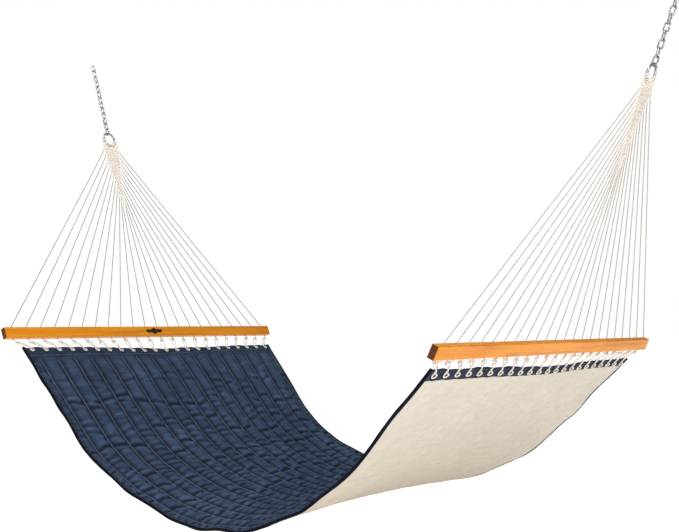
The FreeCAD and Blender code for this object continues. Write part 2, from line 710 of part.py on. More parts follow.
def make_bed():
    half = size("batting_thickness") / 2
    cover = half + size("cover_thickness")
    inner = (half, "Sizes.batting_thickness / 2")
    outer = (cover, "Sizes.batting_thickness / 2 + Sizes.cover_thickness")
    minus_inner = (-half, "-Sizes.batting_thickness / 2")
    hem = (size("hem_length"), "Sizes.hem_length")
    inset = (size("binding_width"), "Sizes.binding_width")
    quilt = ((1, *inset), (-1, *inset))
    bed_layer("bed_top_cover", outer, minus_inner, hem, quilt)
    bed_layer("bed_batting", inner, inner, hem, quilt)
    bed_layer("bed_back_cover", minus_inner, outer, hem, quilt)
    tape = (size("binding_thickness") / 2, "Sizes.binding_thickness / 2")
    none = (0, "0")
    bed_layer("edge_binding_near", tape, tape, none, ((-1, *inset), (-1, *none)))
    bed_layer("edge_binding_far", tape, tape, none, ((1, *inset), (1, *none)))


# ---- badge: a blank plate nailed to the middle of the left bar's inner face ----

badge_frame = bar_frame.multiply(
    FreeCAD.Placement(V(0, 0, -size("bar_thickness") / 2), FreeCAD.Rotation(V(0, 1, 0), 180)))
if badge_frame.Rotation.multVec(V(0, 0, 1)).x < 0:
    badge_frame = bar_frame.multiply(
        FreeCAD.Placement(V(0, 0, size("bar_thickness") / 2), FreeCAD.Rotation()))


def make_badge():
    body = new_body("badge_plate")
    arms = body_sketch(body, "XY_Plane", "arms")
    height = size("badge_height")
    length = size("badge_length")
    add_rectangle(arms, height, length, "Sizes.badge_height", "Sizes.badge_length")
    pad(body, arms, "arm_plate", "Sizes.badge_arm_thickness", False)
    doc.recompute()
    corners = body.newObject("PartDesign::Fillet", "rounded")
    solid = body.getObject("arm_plate") or doc.getObject("arm_plate")
    upright = []
    for i, edge in enumerate(solid.Shape.Edges):
        if abs(edge.tangentAt(edge.FirstParameter).z) > 0.9:
            upright.append(f"Edge{i + 1}")
    corners.Base = (solid, upright)
    corners.setExpression("Radius", "Sizes.badge_height / 2 - 0.2")
    doc.recompute()
    disc = body_sketch(body, "XY_Plane", "disc")
    add_circle(disc, 0, 0, None, None, "Sizes.badge_disc / 2")
    pad(body, disc, "disc_plate", "Sizes.badge_thickness", False)
    doc.recompute()
    nail_holes = body_sketch(body, "XY_Plane", "nail_holes")
    half = size("nail_spacing") / 2
    for out, sign in ((1, ""), (-1, "-")):
        add_circle(nail_holes, 0, out * half, None, f"{sign}Sizes.nail_spacing / 2",
                   "Sizes.nail_shank / 2 + 0.1")
    holes = body.newObject("PartDesign::Pocket", "holes")
    holes.Profile = nail_holes
    holes.Midplane = True
    holes.setExpression("Length", "4 * Sizes.badge_thickness")
    body.Tip = holes
    finish(body, badge_frame)


def make_badge_nails():
    """Two round-headed nails through the plate's arms into the wood."""
    body = new_body("badge_nails")
    profile = body_sketch(body, "XZ_Plane", "profile")
    head = size("nail_head") / 2
    shank = size("nail_shank") / 2
    top = size("badge_arm_thickness")
    crown = top + size("nail_height")
    length = size("nail_length")
    points = (V(0, crown, 0), V(0, -length, 0), V(shank, -length, 0), V(shank, top, 0),
              V(head, top, 0))
    for i in range(len(points) - 1):
        profile.addGeometry(Part.LineSegment(points[i], points[i + 1]), False)
    dome = size("nail_height")
    dome_radius = (head ** 2 + dome ** 2) / (2 * dome)
    turn = math.asin(head / dome_radius)
    circle = Part.Circle(V(0, crown - dome_radius, 0), V(0, 0, 1), dome_radius)
    quarter = math.pi / 2
    profile.addGeometry(Part.ArcOfCircle(circle, quarter - turn, quarter), False)
    for i in range(3):
        profile.addConstraint(Rule("Coincident", i, 2, i + 1, 1))
    profile.addConstraint(Rule("Coincident", 3, 2, 4, 1))
    profile.addConstraint(Rule("Coincident", 4, 2, 0, 1))
    profile.addConstraint(Rule("Vertical", 0))
    profile.addConstraint(Rule("Horizontal", 1))
    profile.addConstraint(Rule("Vertical", 2))
    profile.addConstraint(Rule("Horizontal", 3))
    profile.addConstraint(Rule("PointOnObject", 4, 3, V_AXIS))
    place_point(profile, 0, 1, 0, crown, None, "Sizes.badge_arm_thickness + Sizes.nail_height")
    bind(profile, Rule("DistanceY", 1, 1, -1, 1, length), "Sizes.nail_length")
    bind(profile, Rule("DistanceX", 1, 1, 1, 2, shank), "Sizes.nail_shank / 2")
    bind(profile, Rule("DistanceY", -1, 1, 3, 2, top), "Sizes.badge_arm_thickness")
    bind(profile, Rule("DistanceX", -1, 1, 3, 2, head), "Sizes.nail_head / 2")
    nail = revolve(body, profile, "nail")
    pattern = body.newObject("PartDesign::LinearPattern", "pair")
    pattern.Originals = [nail]
    pattern.Direction = (profile, ["N_Axis"])
    pattern.Occurrences = 2
    pattern.setExpression("Length", "Sizes.nail_spacing")
    body.Tip = pattern
    doc.recompute()
    shift = size("nail_spacing") / 2
    if body.Shape.BoundBox.Center.y < 0:
        shift = -shift
    place = badge_frame.multiply(FreeCAD.Placement(V(0, -shift, 0), FreeCAD.Rotation()))
    finish(body, place)


for side in ("left", "right"):
    make_chain(side)
    make_ring(side)
    make_hitches(side)
    make_weave(side)
    make_cords(side)
    make_bar(side)
    make_lacing(side)
    make_hem(side)
    make_eyelets(side)
make_bed()
make_badge()
make_badge_nails()
doc.recompute()

for item in doc.Objects:
    assert "Invalid" not in item.State and "Error" not in item.State, item.Label
for piece in pieces:
    assert not piece.Shape.isNull() and piece.Shape.isValid(), piece.Label
    assert piece.Shape.Solids, piece.Label
assert len({piece.Label for piece in pieces}) == len(pieces), "labels repeat"

os.makedirs("parts", exist_ok=True)
for piece in pieces:
    piece.Shape.exportStep(f"parts/{piece.Label}.step")

print(len(pieces), "nodes; cord bend radius", size("cord_bend"), "mm; hem edge", hem_edge,
      "bed radius", round(bed_radius, 1))
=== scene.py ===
import math

import bpy
import numpy as np
from mathutils import Matrix, Vector


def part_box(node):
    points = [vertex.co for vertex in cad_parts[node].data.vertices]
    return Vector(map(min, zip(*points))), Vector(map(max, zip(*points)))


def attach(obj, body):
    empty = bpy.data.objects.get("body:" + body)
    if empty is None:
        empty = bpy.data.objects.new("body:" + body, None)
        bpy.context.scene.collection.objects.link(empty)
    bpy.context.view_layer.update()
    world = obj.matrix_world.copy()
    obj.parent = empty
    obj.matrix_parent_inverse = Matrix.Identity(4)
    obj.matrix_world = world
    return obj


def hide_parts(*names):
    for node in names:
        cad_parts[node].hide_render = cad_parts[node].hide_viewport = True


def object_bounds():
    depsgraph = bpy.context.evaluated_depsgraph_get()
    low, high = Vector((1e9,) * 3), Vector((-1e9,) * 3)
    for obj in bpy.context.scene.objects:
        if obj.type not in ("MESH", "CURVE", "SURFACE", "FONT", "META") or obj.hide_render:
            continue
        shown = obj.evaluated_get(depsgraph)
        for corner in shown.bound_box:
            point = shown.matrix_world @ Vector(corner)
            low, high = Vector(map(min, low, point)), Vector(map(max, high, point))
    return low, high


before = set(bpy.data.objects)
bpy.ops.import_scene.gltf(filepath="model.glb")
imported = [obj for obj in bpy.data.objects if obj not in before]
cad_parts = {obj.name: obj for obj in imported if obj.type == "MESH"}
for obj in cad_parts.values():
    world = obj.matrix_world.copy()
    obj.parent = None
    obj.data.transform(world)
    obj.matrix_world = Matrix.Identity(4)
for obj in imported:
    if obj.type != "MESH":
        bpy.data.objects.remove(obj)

# Quilted hammock with two wooden spreader bars, hung by two chains. Metres, in the row frame:
# the origin is the left hang point, +X runs to the right hang point, +Y across the bed, +Z up.

MM = 0.001
Y = np.array((0.0, 1.0, 0.0))
cad_low, cad_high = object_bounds()


# ---- sizes ----

BAR_TILT = 25
BAR_LENGTH = 1400 * MM
BAR_DEPTH = 40 * MM
BAR_HOLE_PITCH = 63.5 * MM
CORD_ENDS = 22
CORD = 3.8 * MM
LACE = 4.8 * MM
CORD_STEP = 2.4 * MM
LACE_STEP = 1.6 * MM
TAIL_STEP = 1.2 * MM
LACING_ANGLE = 43
KNOT_DROP = 10 * MM
KNOT_SIZE = 2.2 * MM
KNOT_POINTS = 46
HEM_DROP = 41 * MM
BAR_END_SKIN = 1 * MM
RING_WIRE = 8 * MM
RING_INSIDE = 48 * MM
HITCH_SPREAD = 150
FIRST_ROW = 45 * MM
LAST_ROW = 297 * MM
COLUMN_PITCH = 3.7 * MM
OUTERMOST = (CORD_ENDS - 1) / 2
EYELET_PITCH = 58.5 * MM
EYELET_INSET = 12.5 * MM
HEM_THICKNESS = 6 * MM
HEM_ENDS = {"left": (3 * MM, 20 * MM), "right": (9 * MM, 0.5 * MM)}
HEM_SAG = 3 * MM
HEM_SAG_SHARE = 0.45
HEM_HANG = 11 * MM
HEM_HANG_REACH = 110 * MM
HEM_SEAM = {"left": 49 * MM, "right": 38 * MM}
BED_SLOPE = math.radians(47)
BED_STRAIGHT = 353 * MM
BED_WIDTH = 1303 * MM
BED_WAIST = 1207 * MM
BINDING = 9 * MM
QUILT_HALF = BED_WIDTH / 2 - BINDING
SEAM_COUNT = 17
SEAM_PITCH = 76 * MM
WAVE_SEED = 7
TOP_SEED = 11
BACK_SEED = 23
LACING_SEED = {"left": 5, "right": 6}
HEM_SEED = {"left": 31, "right": 37}
BINDING_SEED = {"near": 41, "far": 43}


# ---- places that follow from the frame ----

def middle_of(node):
    low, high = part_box(node)
    return np.array((low + high) / 2)


def leaning(degrees):
    """Unit direction that runs down and towards +X, at an angle from the vertical."""
    angle = math.radians(degrees)
    return np.array((math.sin(angle), 0.0, -math.cos(angle)))


def unit(vector):
    return vector / np.linalg.norm(vector)


span = float(middle_of("ring_left")[0] + middle_of("ring_right")[0])
ring = middle_of("ring_left")
fan = unit(ring)
face = np.cross(fan, Y)
depth = leaning(BAR_TILT)
bar_bottom = middle_of("spreader_bar_left") + depth * BAR_DEPTH / 2
mouth = bar_bottom - depth * BAR_DEPTH
knot_line = bar_bottom + leaning(LACING_ANGLE) * KNOT_DROP
hem_edge = bar_bottom + leaning(LACING_ANGLE + 2) * HEM_DROP
half_chord = span / 2 - hem_edge[0]
bed_radius = (half_chord - BED_STRAIGHT * math.cos(BED_SLOPE)) / math.sin(BED_SLOPE)
bed_length = 2 * BED_STRAIGHT + 2 * BED_SLOPE * bed_radius
waist_inset = (BED_WIDTH - BED_WAIST) / 2
side_radius = (half_chord ** 2 + waist_inset ** 2) / (2 * waist_inset)


def on_side(points, side):
    """The left side's points, or the same turned half round the middle for the right."""
    points = np.asarray(points, float)
    if side == "left":
        return points
    return np.array((span, 0.0, 0.0)) + points * np.array((-1.0, -1.0, 1.0))


# ---- the bed's surface ----

def soft_noise(rng, shape, lumps):
    """Smooth random field on a grid, from about -1 to 1, with that many lumps each way."""
    coarse = rng.uniform(-1, 1, (lumps[0] + 4, lumps[1] + 4))

    def weights(count, cells):
        """B-spline weights of the coarse values for each line of the grid."""
        at = np.linspace(0, cells, count)
        cell = np.minimum(at.astype(int), cells - 1)
        f = at - cell
        parts = ((1 - f) ** 3, 3 * f ** 3 - 6 * f ** 2 + 4, -3 * f ** 3 + 3 * f ** 2 + 3 * f + 1, f ** 3)
        table = np.zeros((count, cells + 4))
        for k, part in enumerate(parts):
            table[np.arange(count), cell + k] = part / 6
        return table

    return 1.7 * weights(shape[0], lumps[0]) @ coarse @ weights(shape[1], lumps[1]).T


def soft_line(rng, count, lumps):
    """The same for a line of values."""
    return soft_noise(rng, (count, 2), (lumps, 1))[:, 0]


WAVE_GRID = (200, 60)
WAVE_START = 50 * MM
WAVE_RISE = 120 * MM
EDGE_RIPPLE = 5.0 * MM
BED_ARCH = 30 * MM
FAR_LIFT = {"left": 34 * MM, "right": 12 * MM}
wave_rng = np.random.default_rng(WAVE_SEED)
bed_wave = 2.6 * MM * soft_noise(wave_rng, WAVE_GRID, (16, 3))
bed_wave += 1.3 * MM * soft_noise(wave_rng, WAVE_GRID, (36, 7))
edge_ripple = {edge: soft_line(wave_rng, WAVE_GRID[0], 30) for edge in ("near", "far")}


def bump(share, middle, reach):
    """A smooth rise from 0 to 1 and back, centred on a share of the bed's length."""
    rise = np.clip(1 - np.abs(share - middle) / reach, 0, 1)
    return rise ** 2 * (3 - 2 * rise)


def hung(t, v):
    """How far the cloth lies off the plain arc: arched across at the bottom, lower between the hem's
    ends, and lifted along the far edge half way down both slopes."""
    share = np.clip(t / bed_length, 0, 1)
    middle = 1 - np.clip(v, -1, 1) ** 2
    arch = BED_ARCH * middle * np.sin(math.pi * share) ** 2
    nearest = np.clip(np.minimum(t, bed_length - t), 0, None)
    hang = HEM_HANG * np.exp(-(v / HEM_SAG_SHARE) ** 2) * np.exp(-(nearest / HEM_HANG_REACH) ** 2)
    edge = np.clip((v - 0.30) / 0.70, 0, 1) ** 2
    lift = edge * (FAR_LIFT["left"] * bump(share, 0.41, 0.25) + FAR_LIFT["right"] * bump(share, 0.73, 0.22))
    return arch - hang + lift


def sample(field, t, v):
    """Bilinear value of a field over the bed, t metres along it and v from -1 to 1 across."""
    i = np.clip(t / bed_length, 0, 1) * (field.shape[0] - 1)
    j = (np.clip(v, -1, 1) + 1) / 2 * (field.shape[1] - 1)
    a = np.minimum(i.astype(int), field.shape[0] - 2)
    b = np.minimum(j.astype(int), field.shape[1] - 2)
    f = i - a
    g = j - b
    low = field[a, b] * (1 - g) + field[a, b + 1] * g
    high = field[a + 1, b] * (1 - g) + field[a + 1, b + 1] * g
    return low * (1 - f) + high * f


def bed_line(t):
    """Places, directions and upward normals of the bed's middle line, t metres along from the left hem."""
    turn = np.clip((t - BED_STRAIGHT) / bed_radius, 0, 2 * BED_SLOPE)
    angle = turn - BED_SLOPE
    past = t - BED_STRAIGHT - turn * bed_radius
    start_x = hem_edge[0] + BED_STRAIGHT * math.cos(BED_SLOPE)
    start_z = hem_edge[2] - BED_STRAIGHT * math.sin(BED_SLOPE)
    x = start_x + bed_radius * (np.sin(angle) + math.sin(BED_SLOPE)) + past * np.cos(angle)
    z = start_z + bed_radius * (math.cos(BED_SLOPE) - np.cos(angle)) + past * np.sin(angle)
    return x, z, np.cos(angle), np.sin(angle)


def half_width(x):
    """Half the bed's width at a place along X: its long edges are shallow arcs."""
    off = np.clip(x - span / 2, -half_chord, half_chord)
    return BED_WAIST / 2 + side_radius - np.sqrt(side_radius ** 2 - off ** 2)


def on_bed(t, v, h, out=0.0):
    """Points t along, v from -1 to 1 across and h proud of the middle plane; out widens the bed."""
    t, v, h = np.broadcast_arrays(np.asarray(t, float), np.asarray(v, float), np.asarray(h, float))
    x, z, cos, sin = bed_line(t)
    fade = np.clip((np.minimum(t, bed_length - t) - WAVE_START) / WAVE_RISE, 0, 1)
    places = np.linspace(0, bed_length, WAVE_GRID[0])
    near, far = (np.interp(t, places, edge_ripple[edge]) for edge in ("near", "far"))
    ripple = np.where(v < 0, near, far) * np.abs(v) ** 10
    ripple = ripple * (1 + bump(t / bed_length, 0.46, 0.28))
    h = h + hung(t, v) + fade * (sample(bed_wave, t, v) + EDGE_RIPPLE * ripple)
    y = v * (half_width(x) - BINDING + out - 0.7 * EDGE_RIPPLE * fade * ripple)
    return np.stack((x - sin * h, y, z + cos * h), axis=-1)


# ---- mesh helpers ----

def placed(name, data):
    """An object with this data, in the scene."""
    made = bpy.data.objects.new(name, data)
    bpy.context.scene.collection.objects.link(made)
    return made


def piece(name, points, faces, material, body, replaces=()):
    """One mesh that rides on a CAD body and takes its finish from a material slot."""
    mesh = bpy.data.meshes.new(name)
    mesh.from_pydata(np.asarray(points, float).reshape(-1, 3).tolist(), [], faces)
    mesh.polygons.foreach_set("use_smooth", [True] * len(mesh.polygons))
    mesh.materials.append(material)
    mesh.update()
    made = placed(name, mesh)
    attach(made, body)
    if replaces:
        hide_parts(*replaces)
    return made


def grid_faces(rows, columns, first=0, closed=False, looped=False):
    """Quads of a grid of points: closed joins its last column to its first, looped its last row."""
    i = np.arange(rows if looped else rows - 1)[:, None]
    j = np.arange(columns if closed else columns - 1)[None, :]
    k = (j + 1) % columns
    this = first + i * columns
    following = first + (i + 1) % rows * columns
    quads = np.stack((this + j, this + k, following + k, following + j), axis=-1)
    return quads.reshape(-1, 4).tolist()


def turned_over(faces):
    """The same faces seen from their other side."""
    return [list(reversed(face)) for face in faces]


def distances(path):
    """How far along a line each of its points lies."""
    return np.concatenate(([0.0], np.cumsum(np.linalg.norm(np.diff(path, axis=0), axis=1))))


def resampled(path, step):
    """The same line with points about step apart."""
    path = np.asarray(path, float)
    along = distances(path)
    count = max(3, int(round(along[-1] / step)) + 1)
    at = np.linspace(0, along[-1], count)
    return np.stack([np.interp(at, along, path[:, k]) for k in range(3)], axis=1)


def rounded(route, step, passes=3):
    """A smooth line that cuts inside a route's corners, with points step apart."""
    route = np.asarray(route, float)
    for _ in range(passes):
        a = route[:-1] * 0.75 + route[1:] * 0.25
        b = route[:-1] * 0.25 + route[1:] * 0.75
        cut = np.stack((a, b), axis=1).reshape(-1, 3)
        route = np.concatenate((route[:1], cut[1:-1], route[-1:]))
    return resampled(route, step)


class Strands:
    """Collects ropes into one mesh. Each rope's section has one lobe per strand and turns with the lay."""

    SIDES = 9
    LAY = 13 * MM
    GROOVE = 0.10
    FRAYED = 4 * MM

    def __init__(self):
        self.points = []
        self.painted_tones = []
        self.faces = []
        self.count = 0

    def add(self, path, diameter, flare=0.0, tone=None):
        """A rope along a line. Flare widens its last end, as a cut end frays; tone is its painted shade, 1
        where there is none.
        """
        path = np.asarray(path, float)
        tone = np.ones(len(path)) if tone is None else tone
        self.painted_tones.append(np.repeat(tone, self.SIDES))
        tangents = np.gradient(path, axis=0)
        tangents /= np.linalg.norm(tangents, axis=1)[:, None]
        normals = self.carried(tangents)
        sideways = np.cross(tangents, normals)
        lengths = distances(path)
        angles = np.arange(self.SIDES) * 2 * math.pi / self.SIDES
        radii = diameter / 2 * (1 - self.GROOVE + self.GROOVE * np.cos(3 * angles))
        turn = angles[None, :] + (lengths / self.LAY * 2 * math.pi)[:, None]
        widen = 1 + flare * np.clip((lengths - lengths[-1]) / self.FRAYED + 1, 0, 1) ** 2
        reach = radii[None, :] * widen[:, None]
        rings = path[:, None, :] + (reach * np.cos(turn))[..., None] * normals[:, None, :]
        rings += (reach * np.sin(turn))[..., None] * sideways[:, None, :]
        first = self.count
        last = first + (len(path) - 1) * self.SIDES
        self.points.append(rings.reshape(-1, 3))
        self.faces += grid_faces(len(path), self.SIDES, first, closed=True)
        self.faces.append([first + k for k in reversed(range(self.SIDES))])
        self.faces.append([last + k for k in range(self.SIDES)])
        self.count += len(path) * self.SIDES

    @staticmethod
    def carried(tangents):
        """Normals carried along a line without twist."""
        start = Vector(tangents[0]).orthogonal().normalized()
        normals = []
        for tangent in tangents:
            t = Vector(tangent)
            start = (start - t * start.dot(t)).normalized()
            normals.append(start[:])
        return np.array(normals)

    def finish(self, name, side, body, replaced):
        """The collected ropes as one piece of cord on its side of the hammock."""
        points = on_side(np.concatenate(self.points), side)
        made = piece(f"{name}_{side}", points, self.faces, cord_cream, body, replaced)
        # The ropes' tones go on as painted shade.
        set_painted_light(made, np.concatenate(self.painted_tones))


# ---- materials ----

class Nodes:
    """A node tree with short ways to add what the materials here are made of."""

    def __init__(self, tree):
        self.tree = tree

    def link(self, source, target):
        self.tree.links.new(source, target)

    def add(self, kind, settings=None, values=None):
        """A shader node with its settings and its sockets' values."""
        made = self.tree.nodes.new("ShaderNode" + kind)
        for key, value in (settings or {}).items():
            setattr(made, key, value)
        for key, value in (values or {}).items():
            made.inputs[key].default_value = value
        return made

    def place(self, stretch=(1, 1, 1), uv=None):
        """The piece's own coordinates in metres, stretched; a named UV map where one is given."""
        mapping = self.add("Mapping", values={"Scale": stretch})
        if uv is None:
            source = self.add("TexCoord").outputs["Object"]
        else:
            source = self.add("UVMap", {"uv_map": uv}).outputs["UV"]
        self.link(source, mapping.inputs["Vector"])
        return mapping.outputs["Vector"]

    def noise(self, place, scale=1.0, detail=3.0, rough=0.55, distortion=0.0):
        """Noise at a place; a stretch stands for the piece's own coordinates stretched by it."""
        if isinstance(place, tuple):
            place = self.place(place)
        made = self.add("TexNoise", values={
            "Scale": scale, "Detail": detail, "Roughness": rough, "Distortion": distortion})
        self.link(place, made.inputs["Vector"])
        return made.outputs["Fac"]

    def ramp(self, factor, *stops):
        """Colours or greys along a factor: each stop is its place and its colour or grey."""
        made = self.add("ValToRGB")
        ramp = made.color_ramp
        while len(ramp.elements) < len(stops):
            ramp.elements.new(0.5)
        for element, (at, colour) in zip(ramp.elements, stops):
            element.position = at
            element.color = (*colour, 1.0) if isinstance(colour, tuple) else (colour,) * 3 + (1.0,)
        self.link(factor, made.inputs["Fac"])
        return made.outputs["Color"]

    def fill(self, socket, value):
        """Links a socket to another, or sets its grey or its colour."""
        if isinstance(value, bpy.types.NodeSocket):
            self.link(value, socket)
        else:
            socket.default_value = (*value, 1.0) if isinstance(value, tuple) else value

    def mixed(self, factor, a, b, how="MIX"):
        """Two colours mixed: inputs 0, 6 and 7 are a colour mix's factor and its two colours."""
        made = self.add("Mix", {"data_type": "RGBA", "blend_type": how})
        for place, value in ((0, factor), (6, a), (7, b)):
            self.fill(made.inputs[place], value)
        return made.outputs[2]

    def times(self, a, b):
        return self.mixed(1.0, a, b, "MULTIPLY")

    def math(self, how, a, b=0.0):
        made = self.add("Math", {"operation": how})
        for socket, value in zip(made.inputs, (a, b)):
            self.fill(socket, value)
        return made.outputs[0]

    def blended(self, a, b, share):
        """Two values added, each by its share."""
        return self.math("ADD", self.math("MULTIPLY", a, share), self.math("MULTIPLY", b, 1 - share))


class Finish(Nodes):
    """A material with one shader, which gets its constant values on its own sockets."""

    def __init__(self, name, values):
        self.material = bpy.data.materials.new(name)
        self.material.use_nodes = True
        super().__init__(self.material.node_tree)
        self.inputs = self.tree.nodes["Principled BSDF"].inputs
        for key, value in values.items():
            self.inputs[key].default_value = value

    def colour(self, source):
        self.link(source, self.inputs["Base Color"])

    def rough(self, factor, *stops):
        self.link(self.ramp(factor, *stops), self.inputs["Roughness"])

    def bump(self, height, distance, strength):
        made = self.add("Bump", values={"Distance": distance, "Strength": strength})
        self.link(height, made.inputs["Height"])
        self.link(made.outputs["Normal"], self.inputs["Normal"])

    def painted_light(self):
        """The painted shade and highlight stored at each vertex, from 0 to 1."""
        return self.add("Attribute", {"attribute_name": "painted_light"}).outputs["Fac"]


def woven(made, place, pitch):
    """A plain weave's height, from two sets of threads that cross."""
    period = 2 * math.pi / 20  # length of one band of a wave texture at scale 1
    waves = []
    for direction in ("X", "Y"):
        wave = made.add("TexWave", {"bands_direction": direction}, {
            "Scale": period / pitch, "Distortion": 0.6, "Detail": 1.0, "Detail Scale": 0.4})
        made.link(place, wave.inputs["Vector"])
        waves.append(wave.outputs["Fac"])
    return made.math("MULTIPLY", *waves)


def cloth_material(name, dark, plain, light, pitch, sheen, rough, painted_tones, crumple, ridges=1.0, shine=0.25):
    """Woven outdoor cloth: broad fading, slubs along both thread directions and a fine weave, with painted
    shade and highlight from the stored values and along crinkles.
    """
    made = Finish(name, {"Sheen Weight": sheen, "Sheen Roughness": 0.5, "Specular IOR Level": shine,
                         "Sheen Tint": (*light, 1.0)})
    broad = made.noise(made.place(), 5.0, 4.0, 0.6)
    slub_along = made.noise(made.place((60, 900, 1), "cloth"))
    slub_across = made.noise(made.place((900, 60, 1), "cloth"))
    slubs = made.math("MULTIPLY", made.math("ADD", slub_along, slub_across), 0.5)
    weave = woven(made, made.place(uv="cloth"), pitch)
    faded = made.ramp(broad, (0.32, dark), (0.5, plain), (0.7, light))
    flecked = made.mixed(made.ramp(slubs, (0.42, 0.0), (0.6, 0.55)), faded, light)
    plain_cloth = made.times(flecked, made.ramp(weave, (0.0, 0.80), (0.6, 1.0)))
    # The stored values paint shade in creases and highlights on shoulders, between the two painted_tones.
    scaled = made.times(plain_cloth, made.ramp(made.painted_light(), (0.0, painted_tones[0]), (0.5, 1.0), (1.0, painted_tones[1])))
    crinkle = made.noise(made.place((62, 15, 1), "cloth"), 1.0, 4.0, 0.6, 0.6)
    # Painted shade and highlight that follow the crinkle noise, which also raises the bump.
    crinkle_shaded = made.times(scaled, made.ramp(crinkle, (0.34, 1 - crumple), (0.66, 1 + crumple)))
    patches = made.ramp(broad, (0.42, 0.15), (0.58, 1.0))
    # In patches, each crinkle gets a thin painted shade line with a painted highlight beside it.
    groove_shade = 0.009 * ridges
    crease_shade_lines = made.ramp(crinkle, (0.44, 1.0), (0.48, 1 - groove_shade), (0.52, 1 + groove_shade / 2), (0.57, 1.0))
    made.colour(made.mixed(patches, crinkle_shaded, made.times(crinkle_shaded, crease_shade_lines)))
    made.rough(slubs, (0.3, rough - 0.06), (0.7, rough + 0.06))
    threads = made.math("ADD", weave, made.math("MULTIPLY", slubs, 1.6))
    creased = made.math("MULTIPLY", crinkle, patches)
    raised = made.math("MULTIPLY", creased, 24 * crumple * ridges)
    made.bump(made.math("ADD", threads, raised), 0.25 * MM, 0.6)
    return made.material


def cord_material(name, dark, light, fuzz=1.0, with_painted_shade=False):
    """Spun cord: soft fibres, faint soil and a matt, slightly fuzzy surface; with_painted_shade darkens it
    by the stored tone.
    """
    made = Finish(name, {"Sheen Weight": 0.25, "Sheen Roughness": 0.6, "Specular IOR Level": 0.2})
    place = made.place()
    fibres = made.noise(place, 1900.0, 3.0, 0.6)
    soil_and_painted_shade = made.noise(place, 26.0, 4.0, 0.6)
    spun = made.ramp(made.blended(fibres, soil_and_painted_shade, 0.55), (0.3, dark), (0.62, light))
    # Where asked, the stored tone darkens the cord as painted shade.
    if with_painted_shade:
        spun = made.times(spun, made.ramp(made.painted_light(), (0.0, (0.40, 0.385, 0.36)), (1.0, 1.0)))
    made.colour(spun)
    made.rough(fibres, (0.2, 0.78), (0.8, 0.95))
    made.bump(fibres, 0.25 * MM * fuzz, 0.7)
    return made.material


def zinc_material():
    """Zinc-plated steel: spangle, fine scratches and a little dulling."""
    made = Finish("zinc_steel", {"Metallic": 1.0})
    place = made.place()
    spangle = made.noise(place, 260.0, 2.0, 0.5)
    scratches = made.noise((900, 900, 120), 1.0, 2.0, 0.5)
    dull = made.noise(place, 45.0, 4.0, 0.65)
    base = made.ramp(spangle, (0.4, (0.16, 0.165, 0.17)), (0.6, (0.74, 0.75, 0.76)))
    made.colour(made.mixed(made.ramp(dull, (0.5, 0.0), (0.75, 0.6)), base, (0.26, 0.265, 0.27)))
    tone = made.blended(scratches, dull, 0.5)
    made.rough(tone, (0.3, 0.22), (0.7, 0.48))
    made.bump(tone, 0.08 * MM, 0.5)
    return made.material


def wood_material():
    """Varnished hardwood: grain along the bar, darker end grain, pores and a clear coat."""
    made = Finish("varnished_wood", {
        "Coat Weight": 0.10, "Coat Roughness": 0.25, "Specular IOR Level": 0.15})
    growth = made.noise((46, 2.0, 46), 1.0, 5.0, 0.62, 0.5)
    figure = made.noise((9, 1.3, 9), 1.0, 3.0, 0.5, 0.8)
    pores = made.noise((1500, 45, 1500), 1.0, 2.0, 0.5)
    honey = made.ramp(growth, (0.30, (0.50, 0.150, 0.003)), (0.45, (0.66, 0.215, 0.006)),
                      (0.58, (0.80, 0.285, 0.014)), (0.72, (0.56, 0.175, 0.004)))
    patchy = made.mixed(made.ramp(figure, (0.38, 0.0), (0.66, 0.55)), honey, (0.82, 0.32, 0.020))
    pored = made.mixed(made.ramp(pores, (0.60, 0.0), (0.72, 0.35)), patchy, (0.26, 0.09, 0.012))
    split = made.add("SeparateXYZ")
    made.link(made.place(), split.inputs[0])
    end = made.math("GREATER_THAN", made.math("ABSOLUTE", split.outputs[1]), BAR_LENGTH / 2 - BAR_END_SKIN)
    rings = made.noise((190, 1, 700), 1.0, 4.0, 0.6, 0.6)
    end_tone = made.ramp(rings, (0.35, (0.055, 0.016, 0.004)), (0.65, (0.15, 0.048, 0.011)))
    made.colour(made.mixed(end, pored, end_tone))
    made.rough(made.noise((30, 6, 30), 1.0, 4.0, 0.6), (0.3, 0.30), (0.7, 0.48))
    made.bump(made.math("SUBTRACT", growth, made.math("MULTIPLY", pores, 0.6)), 0.25 * MM, 0.35)
    return made.material


def bronze_material():
    """Dark patinated bronze, brighter where it is rubbed."""
    made = Finish("bronze", {"Metallic": 0.85})
    place = made.place()
    patina = made.noise(place, 130.0, 5.0, 0.65)
    made.colour(made.ramp(patina, (0.35, (0.035, 0.024, 0.014)), (0.6, (0.085, 0.058, 0.030)),
                          (0.75, (0.16, 0.11, 0.055))))
    made.rough(made.noise(place, 420.0, 3.0, 0.5), (0.3, 0.38), (0.7, 0.62))
    made.bump(patina, 0.15 * MM, 0.6)
    return made.material


def eyelet_material():
    """Moulded cream plastic eyelets, slightly yellowed and scuffed."""
    made = Finish("eyelet_plastic", {"Specular IOR Level": 0.5})
    place = made.place()
    cast = made.noise(place, 180.0, 4.0, 0.6)
    scuff = made.noise(place, 1200.0, 2.0, 0.5)
    made.colour(made.ramp(cast, (0.3, (0.60, 0.53, 0.42)), (0.7, (0.78, 0.72, 0.60))))
    made.rough(scuff, (0.3, 0.35), (0.7, 0.55))
    made.bump(scuff, 0.06 * MM, 0.5)
    return made.material


